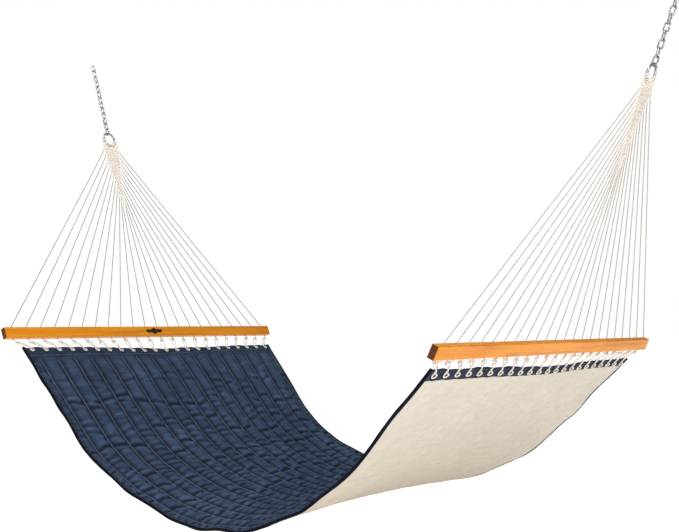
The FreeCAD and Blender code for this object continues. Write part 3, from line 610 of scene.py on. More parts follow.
# painted_tones: how dark the cloth is painted at full painted shade, and how light at full painted
# highlight.
navy = cloth_material(
    "navy_cloth", dark=(0.0118, 0.0228, 0.046), plain=(0.0155, 0.029, 0.0575),
    light=(0.0255, 0.0425, 0.080), pitch=0.8 * MM, sheen=0.05, rough=0.84, painted_tones=(0.30, 2.6), crumple=0.30)
cream = cloth_material(
    "cream_cloth", dark=(0.665, 0.598, 0.50), plain=(0.70, 0.628, 0.53), light=(0.735, 0.665, 0.567),
    pitch=0.8 * MM, sheen=0.15, rough=0.86, painted_tones=((0.83, 0.77, 0.66), 1.05), crumple=0.035, ridges=9.0)
tape = cloth_material(
    "binding_tape", dark=(0.003, 0.004, 0.008), plain=(0.005, 0.007, 0.013), light=(0.009, 0.012, 0.022),
    pitch=0.6 * MM, sheen=0.0, rough=0.92, painted_tones=(1.0, 1.0), crumple=0.1, shine=0.08)
cord_cream = cord_material("cord", (0.68, 0.60, 0.51), (0.91, 0.835, 0.74), with_painted_shade=True)
# Thread lighter than the cloth: real stitching, also standing in for the painted highlight along the seams.
navy_thread_with_highlight = cord_material("navy_thread_with_highlight", (0.12, 0.19, 0.31), (0.22, 0.31, 0.47), fuzz=0.2)
pale_thread = cord_material("pale_thread", (0.20, 0.24, 0.30), (0.36, 0.40, 0.46), fuzz=0.2)
zinc = zinc_material()
wood = wood_material()
bronze = bronze_material()
eyelet_plastic = eyelet_material()


def dress_cad_nodes():
    """Chains, rings, bars and badge keep their CAD shape and get their material."""
    finish_of = {"chain_link": zinc, "ring": zinc, "spreader_bar": wood, "badge": bronze}
    for name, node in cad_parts.items():
        for start, material in finish_of.items():
            if name.startswith(start):
                node.data.materials.clear()
                node.data.materials.append(material)


dress_cad_nodes()


# ---- clews: ring hitches, woven part and the fan of cords ----

ROWS = CORD_ENDS // 2
ROW_STEP = (LAST_ROW - FIRST_ROW) / (ROWS - 1)
WARP_SWING = 1.5 * MM
WEFT_SWING = 1.4 * MM
# Painted shade on cords that hang free, darker on the left clew than on the right.
FREE_CORD_PAINTED_SHADE = {"left": 0.10, "right": 0.42}
WEFT_GAP = 2.0 * MM
HITCH_TURNS = 2
HITCH_STEPS = 8
HITCH_LEAD = 4 * MM
HITCH_SPACING = 1.3 * MM
WEAVE_MARGIN = 5 * MM
TONE_FADE = 8 * MM


def clew_point(down, across, proud=0.0):
    """A point in the clew: down from the ring's centre, across along Y and proud of its plane."""
    return ring + fan * down + Y * across + face * proud


def column_at(index):
    """Where a warp column lies across the clew: columns are counted from -10.5 to 10.5."""
    return index * COLUMN_PITCH


def warp_swing(index, row):
    """Warps pass over and under the rows in turn."""
    return WARP_SWING * (-1) ** (int(index + CORD_ENDS) + row)


def down_the_weave(index):
    """A cord's way from the first row to the row where it leaves its column."""
    rank = int(OUTERMOST - abs(index))
    route = []
    for row in range(rank):
        down = FIRST_ROW + row * ROW_STEP
        route.append(clew_point(down, column_at(index), warp_swing(index, row)))
        route.append(clew_point(down + ROW_STEP / 2, column_at(index)))
    return route, rank


def across_the_weave(index, rank):
    """The row where a cord crosses the warps that are left, to leave on the other side."""
    going = -math.copysign(1, index)
    down = FIRST_ROW + rank * ROW_STEP + WEFT_GAP * going
    route = [clew_point(down - 5 * MM, column_at(index))]
    crossing = index + going
    while abs(crossing) < abs(index) - 0.5 + 1e-6:
        proud = -warp_swing(crossing, rank) / WARP_SWING * WEFT_SWING
        route.append(clew_point(down, column_at(crossing), proud))
        crossing += going
    edge = -column_at(index) + going * 1.5 * MM
    route.append(clew_point(down + 1 * MM, edge, 1.2 * MM * going))
    route.append(clew_point(down + 6 * MM, edge + going * 2.5 * MM, 0.8 * MM * going))
    return route


def down_the_fan(index, rank):
    """From the weave's edge to the bar, through its hole and down to the knot line."""
    hole = -math.copysign(1, index) * (OUTERMOST - rank) * BAR_HOLE_PITCH
    top = clew_point(FIRST_ROW + rank * ROW_STEP + 16 * MM,
                     -column_at(index) - math.copysign(5 * MM, index))
    entry = mouth + Y * hole
    way = unit(entry - top)
    route = [top, entry - way * 14 * MM, entry - way * 4 * MM]
    route += [entry + depth * 5 * MM, entry + depth * 14 * MM]
    route += [bar_bottom + Y * hole - depth * 5 * MM, bar_bottom + Y * hole + depth * 1 * MM]
    route.append(knot_line + Y * hole)
    return route


def hitch(number):
    """Two turns of cord round the ring's wire, from one warp column to the next."""
    angle = math.radians(HITCH_SPREAD) * (number / (ROWS - 1) - 0.5)
    outward = fan * math.cos(angle) + Y * math.sin(angle)
    along = -fan * math.sin(angle) + Y * math.cos(angle)
    wire = ring + outward * (RING_INSIDE + RING_WIRE) / 2
    reach = (RING_WIRE + CORD) / 2 + 0.1 * MM
    lead = wire + outward * (reach + HITCH_LEAD)
    route = [lead - along * HITCH_SPACING]
    steps = HITCH_STEPS * HITCH_TURNS
    for step in range(steps + 1):
        share = step / steps
        about = share * HITCH_TURNS * 2 * math.pi
        side = (share - 0.5) * CORD * 0.92
        route.append(wire + (outward * math.cos(about) + face * math.sin(about)) * reach + along * side)
    return route + [lead + along * HITCH_SPACING]


def clew_end(index):
    """One end's whole route, from its warp column's top to the knot line."""
    start, rank = down_the_weave(index)
    lead = clew_point(FIRST_ROW - 9 * MM + (0 if rank else 2 * MM), column_at(index))
    return [lead] + start + across_the_weave(index, rank) + down_the_fan(index, rank)


def cord_painted_shade(line, free):
    """Painted shade: none where a cord is inside the weave, and darker where it hangs free in the fan."""
    down = (line - ring) @ fan
    half_weave = COLUMN_PITCH * (CORD_ENDS / 2 - (down - FIRST_ROW) / ROW_STEP) + WEAVE_MARGIN
    unshaded = np.clip((half_weave - np.abs(line[:, 1])) / TONE_FADE + 0.5, 0, 1)
    unshaded = np.convolve(np.pad(unshaded, 6, mode="edge"), np.ones(13) / 13, mode="valid")
    return free + (1 - free) * unshaded


def make_clew(side):
    """Eleven cords, each hitched round the ring at its middle. Their lengths are returned."""
    strands = Strands()
    lengths = []
    for number in range(ROWS):
        first = 2 * number - OUTERMOST
        route = clew_end(first)[::-1] + hitch(number) + clew_end(first + 1)
        line = rounded(route, CORD_STEP)
        lengths.append(float(distances(line)[-1]))
        strands.add(line, CORD, tone=cord_painted_shade(line, FREE_CORD_PAINTED_SHADE[side]))
    replaced = [f"clew_{kind}_{side}" for kind in ("cords", "weave", "hitches")]
    strands.finish("clew_ropes", side, f"{side}_clew", replaced)
    return lengths


# ---- lacing: a knot under each bar hole and a loop through an eyelet ----

def knot_curve(centre, turn):
    """A closed overhand knot's line."""
    t = np.linspace(0, 2 * math.pi, KNOT_POINTS)
    x = np.sin(t) + 2 * np.sin(2 * t)
    y = np.cos(t) - 2 * np.cos(2 * t)
    z = -np.sin(3 * t) * 1.1
    return centre + (np.stack((x, y, z), axis=1) * KNOT_SIZE) @ np.array(turn.to_3x3()).T


def hem_fold(side, v):
    """How far along the bed the hem's folded edge lies: it sags between its tighter ends."""
    v = np.asarray(v, float)
    first, last = HEM_ENDS[side]
    return first + (last - first) * (v + 1) / 2 + HEM_SAG * np.exp(-(v / HEM_SAG_SHARE) ** 2)


def eyelet_at(side, number):
    """An eyelet's share across the hem, from -1 to 1, and its place along the bed."""
    across = (number - OUTERMOST) * EYELET_PITCH
    v = across / (half_width(hem_edge[0] + 2 * EYELET_INSET) - BINDING)
    return v, float(hem_fold(side, v)) + EYELET_INSET


def hem_turn(fold, inset, v, up):
    """On one face of the hem: over the fold, round beside the eyelet and into its hole."""
    clear = (HEM_THICKNESS + LACE) / 2 + 0.2 * MM
    beside = 8.0 * MM if up > 0 else 13.0 * MM
    high = clear + 0.4 * MM

    def at(t, height, share):
        return on_bed(t, v, up * height) - Y * up * beside * share

    return [at(fold - 3 * MM, clear, 0.8), at(inset - 5 * MM, clear, 1.0),
            at(inset + beside * 0.75, high, 1.0), at(inset + beside * 1.12, high, -0.1),
            at(inset + beside * 0.60, high + 0.8 * MM, -0.62),
            at(inset, high + 1.1 * MM, -0.36), at(inset, clear, 0.0)]


def tail_route(rng, root, way, turned):
    """A cut tail: a short stub out of the knot, then a bend."""
    stub = 6 * MM
    lean_out = np.array(rng.normal(size=3)) * (0.6, 0.5, 0.5) + Y * turned * rng.uniform(0.4, 1.4)
    tail_way = unit(lean_out + way * rng.uniform(0.1, 0.9))
    length = rng.uniform(9, 21) * MM
    bend = unit(tail_way + np.array(rng.normal(size=3)) * 0.5)
    elbow = root + tail_way * stub
    return [root, elbow, elbow + bend * (length - stub)]


def make_lacing(side):
    rng = np.random.default_rng(LACING_SEED[side])
    strands = Strands()
    for number in range(CORD_ENDS):
        hole = (number - OUTERMOST) * BAR_HOLE_PITCH
        v, inset = eyelet_at(side, number)
        fold = inset - EYELET_INSET
        start = knot_line + Y * hole
        aim = on_bed(fold, v, 0.0) - start
        outer = abs(number - OUTERMOST) / OUTERMOST
        drop = rng.uniform(1, 6) * MM + outer ** 3 * 6 * MM
        way = unit(aim)
        knot = start + way * drop
        strands.add(resampled((start - way * 1 * MM, knot), TAIL_STEP), CORD)
        axis = Vector(rng.normal(size=3)).normalized()
        across_strands = Vector(way).to_track_quat("Y", "Z").to_matrix().to_4x4()
        turn = across_strands @ Matrix.Rotation(rng.uniform(-0.7, 0.7), 4, axis)
        # The knots are painted a little darker, as painted shade.
        strands.add(knot_curve(knot + way * 2.5 * MM, turn), LACE, tone=np.full(KNOT_POINTS, 0.8))
        bow = rng.uniform(9.0, 13.0) * MM
        slack = rng.uniform(-2, 2) * MM
        upper = knot + way * 4 * MM
        spread = Y * bow - face * slack
        loop = [upper - Y * 1.5 * MM, upper + aim * 0.22 - spread]
        loop += hem_turn(fold, inset, v, 1)
        loop += reversed(hem_turn(fold, inset, v, -1))
        loop += [upper + aim * 0.22 + spread, upper + Y * 1.5 * MM]
        strands.add(rounded(loop, LACE_STEP), LACE)
        for turned in (1, -1):
            tail = tail_route(rng, knot + way * 2 * MM, way, turned)
            strands.add(rounded(tail, TAIL_STEP, passes=2), CORD, flare=0.5)
    strands.finish("lacing", side, "bed", [f"end_lacing_{side}"])


# ---- eyelets ----

def eyelet_profile():
    """Half outline of an eyelet: radius and height, round the bore and both flanges."""
    bore = 3.4 * MM
    flange = 5.8 * MM
    top = 3.9 * MM
    seat = 2.8 * MM
    lip = [(bore, 2.0 * MM), (bore + 0.3 * MM, top - 0.4 * MM), (bore + 0.9 * MM, top),
           (bore + 1.6 * MM, top - 0.1 * MM), (flange - 0.4 * MM, seat + 0.6 * MM),
           (flange, seat + 0.1 * MM), (flange - 0.3 * MM, seat - 0.3 * MM),
           (4.6 * MM, seat - 0.4 * MM)]
    return lip + [(r, -z) for r, z in reversed(lip)]


def make_eyelets(side):
    profile = np.array(eyelet_profile())
    sides = 28
    angles = [2 * math.pi * k / sides for k in range(sides)]
    points = []
    faces = []
    for number in range(CORD_ENDS):
        v, inset = eyelet_at(side, number)
        centre = on_bed(inset, v, 0.0)
        up = unit(on_bed(inset, v, 1 * MM) - centre)
        along = np.cross(Y, up)
        for angle in angles:
            spoke = along * math.cos(angle) + Y * math.sin(angle)
            points += [centre + spoke * r + up * z for r, z in profile]
        first = number * sides * len(profile)
        faces += grid_faces(sides, len(profile), first, closed=True, looped=True)
    piece(f"eyelet_rings_{side}", on_side(points, side), faces, eyelet_plastic,
          "bed", [f"eyelets_{side}"])


# ---- stitches ----

class Stitches:
    """Collects short thread stitches into one mesh; each one is a slim spindle half sunk in the cloth."""

    def __init__(self, length, gap, thickness):
        self.length = length
        self.gap = gap
        self.thickness = thickness
        self.points = []

    def add(self, line, up):
        """Stitches along a line, given with an upward direction at each of its points."""
        line = np.asarray(line, float)
        along = distances(line)
        count = int(along[-1] / (self.length + self.gap))
        starts = np.arange(count) * (self.length + self.gap) + self.gap / 2

        def at(values, where):
            return np.stack([np.interp(where, along, values[:, k]) for k in range(3)], axis=1)

        a = at(line, starts)
        b = at(line, starts + self.length)
        rise = at(np.asarray(up, float), starts + self.length / 2)
        side = np.cross(b - a, rise)
        side *= self.thickness / 2 / np.linalg.norm(side, axis=1)[:, None]
        parts = []
        for share in (0.22, 0.78):
            middle = a * (1 - share) + b * share
            ring_points = (middle + side, middle + rise * self.thickness * 0.55,
                           middle - side, middle - rise * self.thickness * 0.4)
            parts.append(np.stack(ring_points, axis=1))
        sunk = rise * self.thickness * 0.3
        parts.append(np.stack((a - sunk, b - sunk), axis=1))
        self.points.append(np.concatenate(parts, axis=1))

    def add_on_bed(self, t, v, height, higher, out=0.0, side="left"):
        """Stitches along a line on the bed, given with the height of a line 1 mm above it."""
        line = on_bed(t, v, height, out)
        rise = (on_bed(t, v, higher, out) - line) / MM
        self.add(on_side(line, side), on_side(rise, side) - on_side(np.zeros(3), side))

    def finish(self, name, material, slot):
        points = np.concatenate(self.points)
        base = (np.arange(len(points)) * 10)[:, None]
        faces = []
        for k in range(4):
            n = (k + 1) % 4
            quads = base + np.array((k, n, n + 4, k + 4))[None, :]
            caps = base + np.array((n, k, 8))[None, :]
            tips = base + np.array((k + 4, n + 4, 9))[None, :]
            faces += quads.tolist() + caps.tolist() + tips.tolist()
        piece(name, points, faces, material, "bed")


# ---- quilted bed ----

CELLS_PER_CHANNEL = 12
EDGE_CELLS = 9
ROW_CELLS = 392
SEAM_HEIGHT = 2.4 * MM
# The quilt's painted light: NEUTRAL_PAINTED_LIGHT is unpainted, FULL_RELIEF of height gives its full range,
# and the seam values paint a light line on each seam with painted shade on one side and a painted highlight
# on the other.
NEUTRAL_PAINTED_LIGHT = 0.5
FULL_RELIEF = 1.4 * MM
SEAM_HIGHLIGHT_AND_SHADE = 0.75
SEAM_SHADE = 0.25
SEAM_SHINE = 0.15
BACK_RELIEF = 0.22
# On the back the painted relief light is weaker, and painted shade darkens it towards its lowest part.
BACK_PAINTED_SHADE = 0.36
SWELL_IN = 30 * MM
LINING_SINK = 0.6 * MM
CREASE_MARGIN = 60 * MM
CREASE_EVEN_FROM = 100 * MM
CREASE_LEAN = 14 * MM
CREASE_STRAY = 9 * MM
CREASE_FADE = 0.16
CREASE_DEPTH = 2.0 * MM
SEAM_DRIFT = 1.3 * MM
SEAM_SHIFT = 1.0 * MM
FLUFF = 1.0 * MM
JITTER = 0.25 * MM
INERTIA = 0.86
THREAD_PULL = 0.95
DIAGONAL_PULL = 0.25
LOWEST = -1.0 * MM
QUILT_FROM = HEM_SEAM["left"] - 3 * MM
QUILT_TO = bed_length - HEM_SEAM["right"] + 3 * MM


def seam_shares():
    """Where the lengthwise seams lie across the bed, from -1 to 1."""
    return [(k - (SEAM_COUNT - 1) / 2) * SEAM_PITCH / QUILT_HALF for k in range(SEAM_COUNT)]


def seams_among(columns):
    """Which grid columns lie on the seams."""
    return [int(np.argmin(np.abs(columns - share))) for share in seam_shares()]


def quilt_columns():
    """Grid columns across the bed, with one on each seam."""
    seams = seam_shares()
    columns = list(np.linspace(-1, seams[0], EDGE_CELLS + 1)[:-1])
    for a, b in zip(seams[:-1], seams[1:]):
        columns += list(np.linspace(a, b, CELLS_PER_CHANNEL + 1)[:-1])
    columns += list(np.linspace(seams[-1], 1, EDGE_CELLS + 1))
    return np.array(columns)


def draw(a, b, rest, share):
    """Move two sets of points along the lines between them, towards a rest length."""
    gap = b - a
    length = np.sqrt((gap * gap).sum(-1)) + 1e-12
    move = gap * ((length - rest) / length * share)[..., None]
    a += move
    b -= move


def pull(points, axis, first, rest, share):
    """Draw every second edge of the grid along an axis towards its rest length."""
    last = first + (points.shape[axis] - first) // 2 * 2

    def cut(start):
        every_second = [slice(None), slice(None)]
        every_second[axis] = slice(start, last, 2)
        return tuple(every_second)

    draw(points[cut(first)], points[cut(first + 1)], rest[cut(first)], share / 2)


def ease(points, axis, amount):
    """Bending stiffness: each point moves towards its neighbours' middle, and they move back."""
    p = points if axis == 0 else points.swapaxes(0, 1)
    bend = ((p[:-2] + p[2:]) / 2 - p[1:-1]) * amount
    p[1:-1] += bend
    p[:-2] -= bend / 2
    p[2:] -= bend / 2


def shear(points, rest, share):
    """Diagonals keep the weave's threads about square."""
    for a, b in ((points[:-1, :-1], points[1:, 1:]), (points[1:, :-1], points[:-1, 1:])):
        draw(a, b, rest, share / 4)


def relax(points, along, across, held, push, rounds, stiffness):
    """Cloth on a grid, held at its seams: filling pushes it up and its spare length puckers.
    The points are moved in place."""
    still = points[held].copy()
    last = points.copy()
    diagonal = np.sqrt(along[:-1, :-1] ** 2 + across[:-1, :-1] ** 2)
    for _ in range(rounds):
        step = (points - last) * INERTIA
        last = points.copy()
        points += step
        points[..., 2] += push
        for parity in (0, 1):
            pull(points, 0, parity, along, THREAD_PULL)
            pull(points, 1, parity, across, THREAD_PULL)
        shear(points, diagonal, DIAGONAL_PULL)
        ease(points, 0, stiffness)
        ease(points, 1, stiffness)
        points[..., 2] = np.maximum(points[..., 2], LOWEST)
        points[held] = still


def crease_field(rng, t, columns, closest, furthest, width):
    """Where the cloth tucks in: short wavy lines across the channels, closest at the lowest part."""
    field = np.zeros((len(t), len(columns)))
    edges = [-1.0] + seam_shares() + [1.0]
    carried = []
    for k, (a, b) in enumerate(zip(edges[:-1], edges[1:])):
        inside = np.where((columns >= a - 1e-9) & (columns <= b + 1e-9))[0]
        share = (columns[inside] - a) / (b - a)
        places = [c + rng.uniform(-1, 1) * CREASE_STRAY for c in carried]
        at = t[0] + rng.uniform(90, 260) * MM
        sparse = 1.35 - 0.6 * k / len(edges)
        while at < t[-1] - CREASE_MARGIN:
            places.append(at)
            away = min(1.0, abs(at - bed_length / 2) / (bed_length / 2 - CREASE_EVEN_FROM))
            gap = closest + (furthest - closest) * away ** 1.15
            at += gap * sparse * rng.uniform(0.45, 1.75)
        carried = []
        for at in places:
            if rng.uniform() < 0.5:
                carried.append(at)
            lean = rng.uniform(-1, 1) * CREASE_LEAN
            wobble = rng.uniform(1.5, 5) * MM
            phase = rng.uniform(0, 6.28)
            line = at + lean * (share - 0.5) + wobble * np.sin(share * rng.uniform(4, 9) + phase)
            low, high = 0.0, 1.0
            if rng.uniform() < 0.45:
                low, high = sorted(rng.uniform(-0.1, 1.1, 2))
            reach = np.clip((share - low) / CREASE_FADE, 0, 1) * np.clip((high - share) / CREASE_FADE, 0, 1)
            strength = rng.uniform(0.25, 1.0) * reach
            shape = np.exp(-((t[:, None] - line[None, :]) / (width * rng.uniform(0.8, 1.3))) ** 2)
            field[:, inside] = np.maximum(field[:, inside], shape * strength[None, :])
    return field


def simulate_cover(rng, columns, spare_along, spare_across, creases, puff, rounds, stiffness):
    """Height and place of one quilted cover, worked out flat: rows along the bed, columns across."""
    rows = ROW_CELLS + 1
    t = np.linspace(QUILT_FROM, QUILT_TO, rows)
    y = columns * QUILT_HALF
    low_part = np.clip(1 - np.abs(t - bed_length / 2) / (bed_length / 2), 0, 1) ** 0.8
    spare = spare_along[0] + (spare_along[1] - spare_along[0]) * low_part
    field = crease_field(rng, t, columns, *creases)
    points = np.zeros((rows, len(columns), 3))
    points[..., 0] = t[:, None]
    points[..., 1] = y[None, :]
    seam_columns = seams_among(columns)
    drift = soft_noise(rng, (rows, SEAM_COUNT), (70, SEAM_COUNT - 1))
    for k, column in enumerate(seam_columns):
        points[:, column, 1] += drift[:, k] * SEAM_DRIFT
        points[:, column, 0] += drift[:, (k * 5 + 3) % SEAM_COUNT] * SEAM_SHIFT
    points[..., 2] = FLUFF - CREASE_DEPTH * field
    points[..., 2] += JITTER * rng.normal(size=points.shape[:2])
    held = np.zeros(points.shape[:2], bool)
    held[:, seam_columns] = True
    held[(0, -1), :] = True
    held[:, (0, -1)] = True
    points[held, 2] = 0.0
    along = np.broadcast_to(((t[1] - t[0]) * (1 + spare))[:, None], points.shape[:2])
    across = np.broadcast_to(np.diff(y, append=2 * y[-1] - y[-2]) * (1 + spare_across), held.shape)
    push = puff * (1 - 1.9 * field)
    relax(points, along, across, held, push, rounds, stiffness)
    return points, seam_columns


def cover_piece(name, points, columns, up, material, replaces):
    """A closed pad from one cover: the cover itself, a lining at the seams, and edges."""
    rows, count = points.shape[:2]
    t = points[..., 0]
    v = points[..., 1] / QUILT_HALF
    swell_in = np.clip(np.minimum(t - QUILT_FROM, QUILT_TO - t) / SWELL_IN, 0, 1)
    seam_height = HEM_THICKNESS / 2 + (SEAM_HEIGHT - HEM_THICKNESS / 2) * swell_in
    outer = on_bed(t, v, up * (points[..., 2] + seam_height))
    seam_columns = seams_among(columns)
    lining_columns = [0] + seam_columns + [count - 1]
    inner = on_bed(t[:, lining_columns], v[:, lining_columns], -LINING_SINK * up)
    verts = np.concatenate((outer.reshape(-1, 3), inner.reshape(-1, 3)))
    base = rows * count
    width = len(lining_columns)
    faces = grid_faces(rows, count)
    faces += turned_over(grid_faces(rows, width, base))
    for i in range(rows - 1):
        a = i * count
        b = base + i * width
        faces.append([a, a + count, b + width, b])
        faces.append([a + 2 * count - 1, a + count - 1, b + width - 1, b + 2 * width - 1])
    for k in range(width - 1):
        first, last = lining_columns[k], lining_columns[k + 1]
        rim = list(range(first, last + 1))
        faces.append([base + k, base + k + 1] + list(reversed(rim)))
        row = (rows - 1) * count
        tail = base + (rows - 1) * width
        faces.append([row + c for c in rim] + [tail + k + 1, tail + k])
    if up > 0:
        faces = turned_over(faces)
    made = piece(name, verts, faces, material, "bed", replaces)
    flat = np.concatenate((points[..., :2].reshape(-1, 2), points[:, lining_columns, :2].reshape(-1, 2)))
    # Painted shade in creases and painted highlight on the shoulders, stored for the material.
    painted_light = painted_relief_light(points[..., 2], seam_columns if up > 0 else [])
    if up < 0:
        # Painted shade on the back, darkest around its lowest part.
        soil_and_painted_shade = BACK_PAINTED_SHADE * bump(t / bed_length, 0.55, 0.38)
        painted_light = NEUTRAL_PAINTED_LIGHT + BACK_RELIEF * (painted_light - NEUTRAL_PAINTED_LIGHT) - soil_and_painted_shade
    painted_light = np.concatenate((painted_light.ravel(), np.full(rows * width, NEUTRAL_PAINTED_LIGHT)))
    lay_cloth_map(made, flat, painted_light)
    return made


def painted_relief_light(heights, seam_columns):
    """Painted light from the relief: from 0 for painted shade in creases and on one side of each seam, to 1
    for a painted highlight on the puffs' shoulders, along each seam and on its other side.
    """
    blurred = heights.copy()
    for _ in range(6):
        padded = np.pad(blurred, 1, mode="edge")
        blurred = (padded[:-2, 1:-1] + padded[2:, 1:-1] + padded[1:-1, :-2] + padded[1:-1, 2:]) / 4
    relief = (heights - blurred) / FULL_RELIEF
    # A painted light line along each seam, painted shade on one side of it and a painted highlight on the
    # other.
    for column in seam_columns:
        relief[:, column] = SEAM_HIGHLIGHT_AND_SHADE
        relief[:, column - 1] -= SEAM_HIGHLIGHT_AND_SHADE
        relief[:, column - 2] -= SEAM_SHADE
        relief[:, column + 1] += SEAM_SHINE
    smooth = np.clip((np.arange(len(heights)) - 2) / 6, 0, 1)
    smooth = (smooth * smooth[::-1])[:, None]
    return np.clip(NEUTRAL_PAINTED_LIGHT + 0.5 * relief * smooth, 0, 1)


def set_painted_light(made, values):
    """Stores the painted shade and highlight at each vertex for the cloth's material."""
    layer = made.data.attributes.new("painted_light", "FLOAT", "POINT")
    layer.data.foreach_set("value", np.asarray(values, np.float32).ravel())


def lay_cloth_map(made, flat, painted_light=None):
    """A UV map in metres of cloth, one place for each vertex, and its painted shade and highlight, even
    where none is given.
    """
    set_painted_light(made, np.full(len(made.data.vertices), NEUTRAL_PAINTED_LIGHT) if painted_light is None else painted_light)
    layer = made.data.uv_layers.new(name="cloth")
    loops = np.empty(len(made.data.loops), np.int32)
    made.data.loops.foreach_get("vertex_index", loops)
    layer.data.foreach_set("uv", np.asarray(flat, np.float32)[loops].ravel())


def make_quilt():
    columns = quilt_columns()
    rounds = 200
    rng = np.random.default_rng(TOP_SEED)
    top, seam_columns = simulate_cover(
        rng, columns, spare_along=(0.006, 0.045), spare_across=0.012,
        creases=(40 * MM, 230 * MM, 4.5 * MM), puff=0.010 * MM, rounds=rounds, stiffness=0.02)
    rng = np.random.default_rng(BACK_SEED)
    back, _ = simulate_cover(
        rng, columns, spare_along=(0.006, 0.016), spare_across=0.001,
        creases=(30 * MM, 70 * MM, 4 * MM), puff=0.0015 * MM, rounds=rounds // 2, stiffness=0.03)
    made_top = cover_piece("quilt_top", top, columns, 1, navy,
                           ["bed_top_cover", "bed_batting"])
    made_back = cover_piece("quilt_back", back, columns, -1, cream, ["bed_back_cover"])
    threads = Stitches(length=4.0 * MM, gap=0.7 * MM, thickness=1.7 * MM)
    for column in seam_columns:
        t = top[:, column, 0]
        v = top[:, column, 1] / QUILT_HALF
        threads.add_on_bed(t, v, SEAM_HEIGHT + 0.2 * MM, SEAM_HEIGHT + 1.2 * MM)
    threads.finish("quilt_stitches", navy_thread_with_highlight, "navy_cloth")


# ---- hems and binding ----

TOP_STITCH = 1.3 * MM
BACK_STITCH = 0.6 * MM
FOLD_WAVER = 2.0 * MM
FACE_WAVER = 1.8 * MM
DRAWN_IN = 1.3 * MM
DRAWN_UP = 0.5 * MM


def make_hem(side):
    """Folded navy hem: a flat closed sleeve, drawn a little towards the bar at each eyelet."""
    columns = 260
    v = np.linspace(-1, 1, columns)
    profile = hem_profile()
    across = v * (half_width(hem_edge[0]) - BINDING)
    cell = (across / EYELET_PITCH + 0.5) % 1.0 - 0.5
    beyond = np.abs(across) > (CORD_ENDS / 2) * EYELET_PITCH
    drawn = np.where(beyond, 0.0, np.cos(2 * math.pi * cell))
    rng = np.random.default_rng(HEM_SEED[side])
    waver = soft_line(rng, columns, 26)
    fold = hem_fold(side, v)
    grid = []
    flat = []
    for share, h in profile:
        lip = max(0.0, 1 - share / 0.45)
        shift = -(DRAWN_IN * drawn + FOLD_WAVER * waver) * lip
        lift = FACE_WAVER * waver * lip + DRAWN_UP * drawn * math.sin(math.pi * min(1, max(0, share)))
        t = fold + (HEM_SEAM[side] - fold) * share + shift
        grid.append(on_bed(t, v, h + lift))
        flat.append(np.stack((t + (0 if h > 0 else 0.1), across), axis=1))
    grid = np.array(grid)
    rows = len(profile)
    faces = grid_faces(rows, columns, looped=True)
    faces.append([i * columns for i in reversed(range(rows))])
    faces.append([i * columns + columns - 1 for i in range(rows)])
    made = piece(f"hem_{side}", on_side(grid.reshape(-1, 3), side), faces, navy, "bed",
                 [f"end_hem_{side}"])
    # Painted shade on the hem's top towards its fold, and over its whole underside.
    painted_light = [0.12 + 0.38 * min(1.0, max(0.0, share) / 0.30) if h > 0 else 0.24 for share, h in profile]
    lay_cloth_map(made, np.concatenate(flat), np.repeat(painted_light, columns))


def hem_profile():
    """The hem's section: top from its inner end to the rounded fold, and back underneath.
    Each point is its share of the way in from the fold and its height."""
    half = HEM_THICKNESS / 2
    top = [(1.10, half + 0.6 * MM), (1.0, half + 1.3 * MM), (0.91, half + 0.5 * MM),
           (0.84, half - 0.2 * MM), (0.74, half + 0.4 * MM)]
    top += [(share, half + 0.2 * MM) for share in (0.62, 0.50, 0.38, 0.26)]
    top += [(0.15, half - 0.1 * MM), (0.06, half - 0.7 * MM), (0.01, half - 1.6 * MM)]
    return top + [(0.0, 0.0)] + [(share, -h) for share, h in reversed(top)]


def hem_stitches(side):
    """A row of stitches near the hem's inner end and one near its fold, on both faces."""
    threads = Stitches(length=4.0 * MM, gap=0.8 * MM, thickness=TOP_STITCH)
    v = np.linspace(-0.995, 0.995, 200)
    fold = hem_fold(side, v)
    for share in (0.84, 0.14):
        for up in (1, -1):
            threads.thickness = TOP_STITCH if up > 0 else BACK_STITCH
            t = fold + (HEM_SEAM[side] - fold) * share
            seat = HEM_THICKNESS / 2 + 0.15 * MM
            threads.add_on_bed(t, v, up * seat, up * (seat + 1 * MM), side=side)
    threads.finish(f"hem_stitches_{side}", navy_thread_with_highlight, "navy_cloth")


def make_binding(edge):
    """Folded tape round a long edge: it grips both covers and follows the edge's ripples."""
    way = {"near": -1, "far": 1}[edge]
    rows = 520
    left_end = HEM_ENDS["left"][0 if way < 0 else 1]
    right_end = HEM_ENDS["right"][1 if way < 0 else 0]
    t = np.linspace(left_end - 0.5 * MM, bed_length - right_end + 0.5 * MM, rows)
    rng = np.random.default_rng(BINDING_SEED[edge])
    plump = 1 + 0.10 * soft_line(rng, rows, 120)
    section = binding_section()
    grid = []
    flat = []
    for k, (inward, height) in enumerate(section):
        grid.append(on_bed(t, way, height * plump, out=BINDING - inward))
        flat.append(np.stack((t, np.full(rows, k * 2.2 * MM)), axis=1))
    grid = np.array(grid).swapaxes(0, 1)
    flat = np.array(flat).swapaxes(0, 1).reshape(-1, 2)
    faces = grid_faces(rows, len(section), closed=True)
    faces.append(list(reversed(range(len(section)))))
    faces.append([(rows - 1) * len(section) + k for k in range(len(section))])
    if way > 0:
        faces = turned_over(faces)
    made = piece(f"binding_{edge}", grid, faces, tape, "bed", [f"edge_binding_{edge}"])
    lay_cloth_map(made, flat)
    threads = Stitches(length=3.4 * MM, gap=0.9 * MM, thickness=0.8 * MM)
    for up in (1, -1):
        threads.add_on_bed(t, way, up * 4.35 * MM * plump, up * 5.35 * MM * plump, BINDING - 9.0 * MM)
    threads.finish(f"binding_stitches_{edge}", pale_thread, "binding_tape")


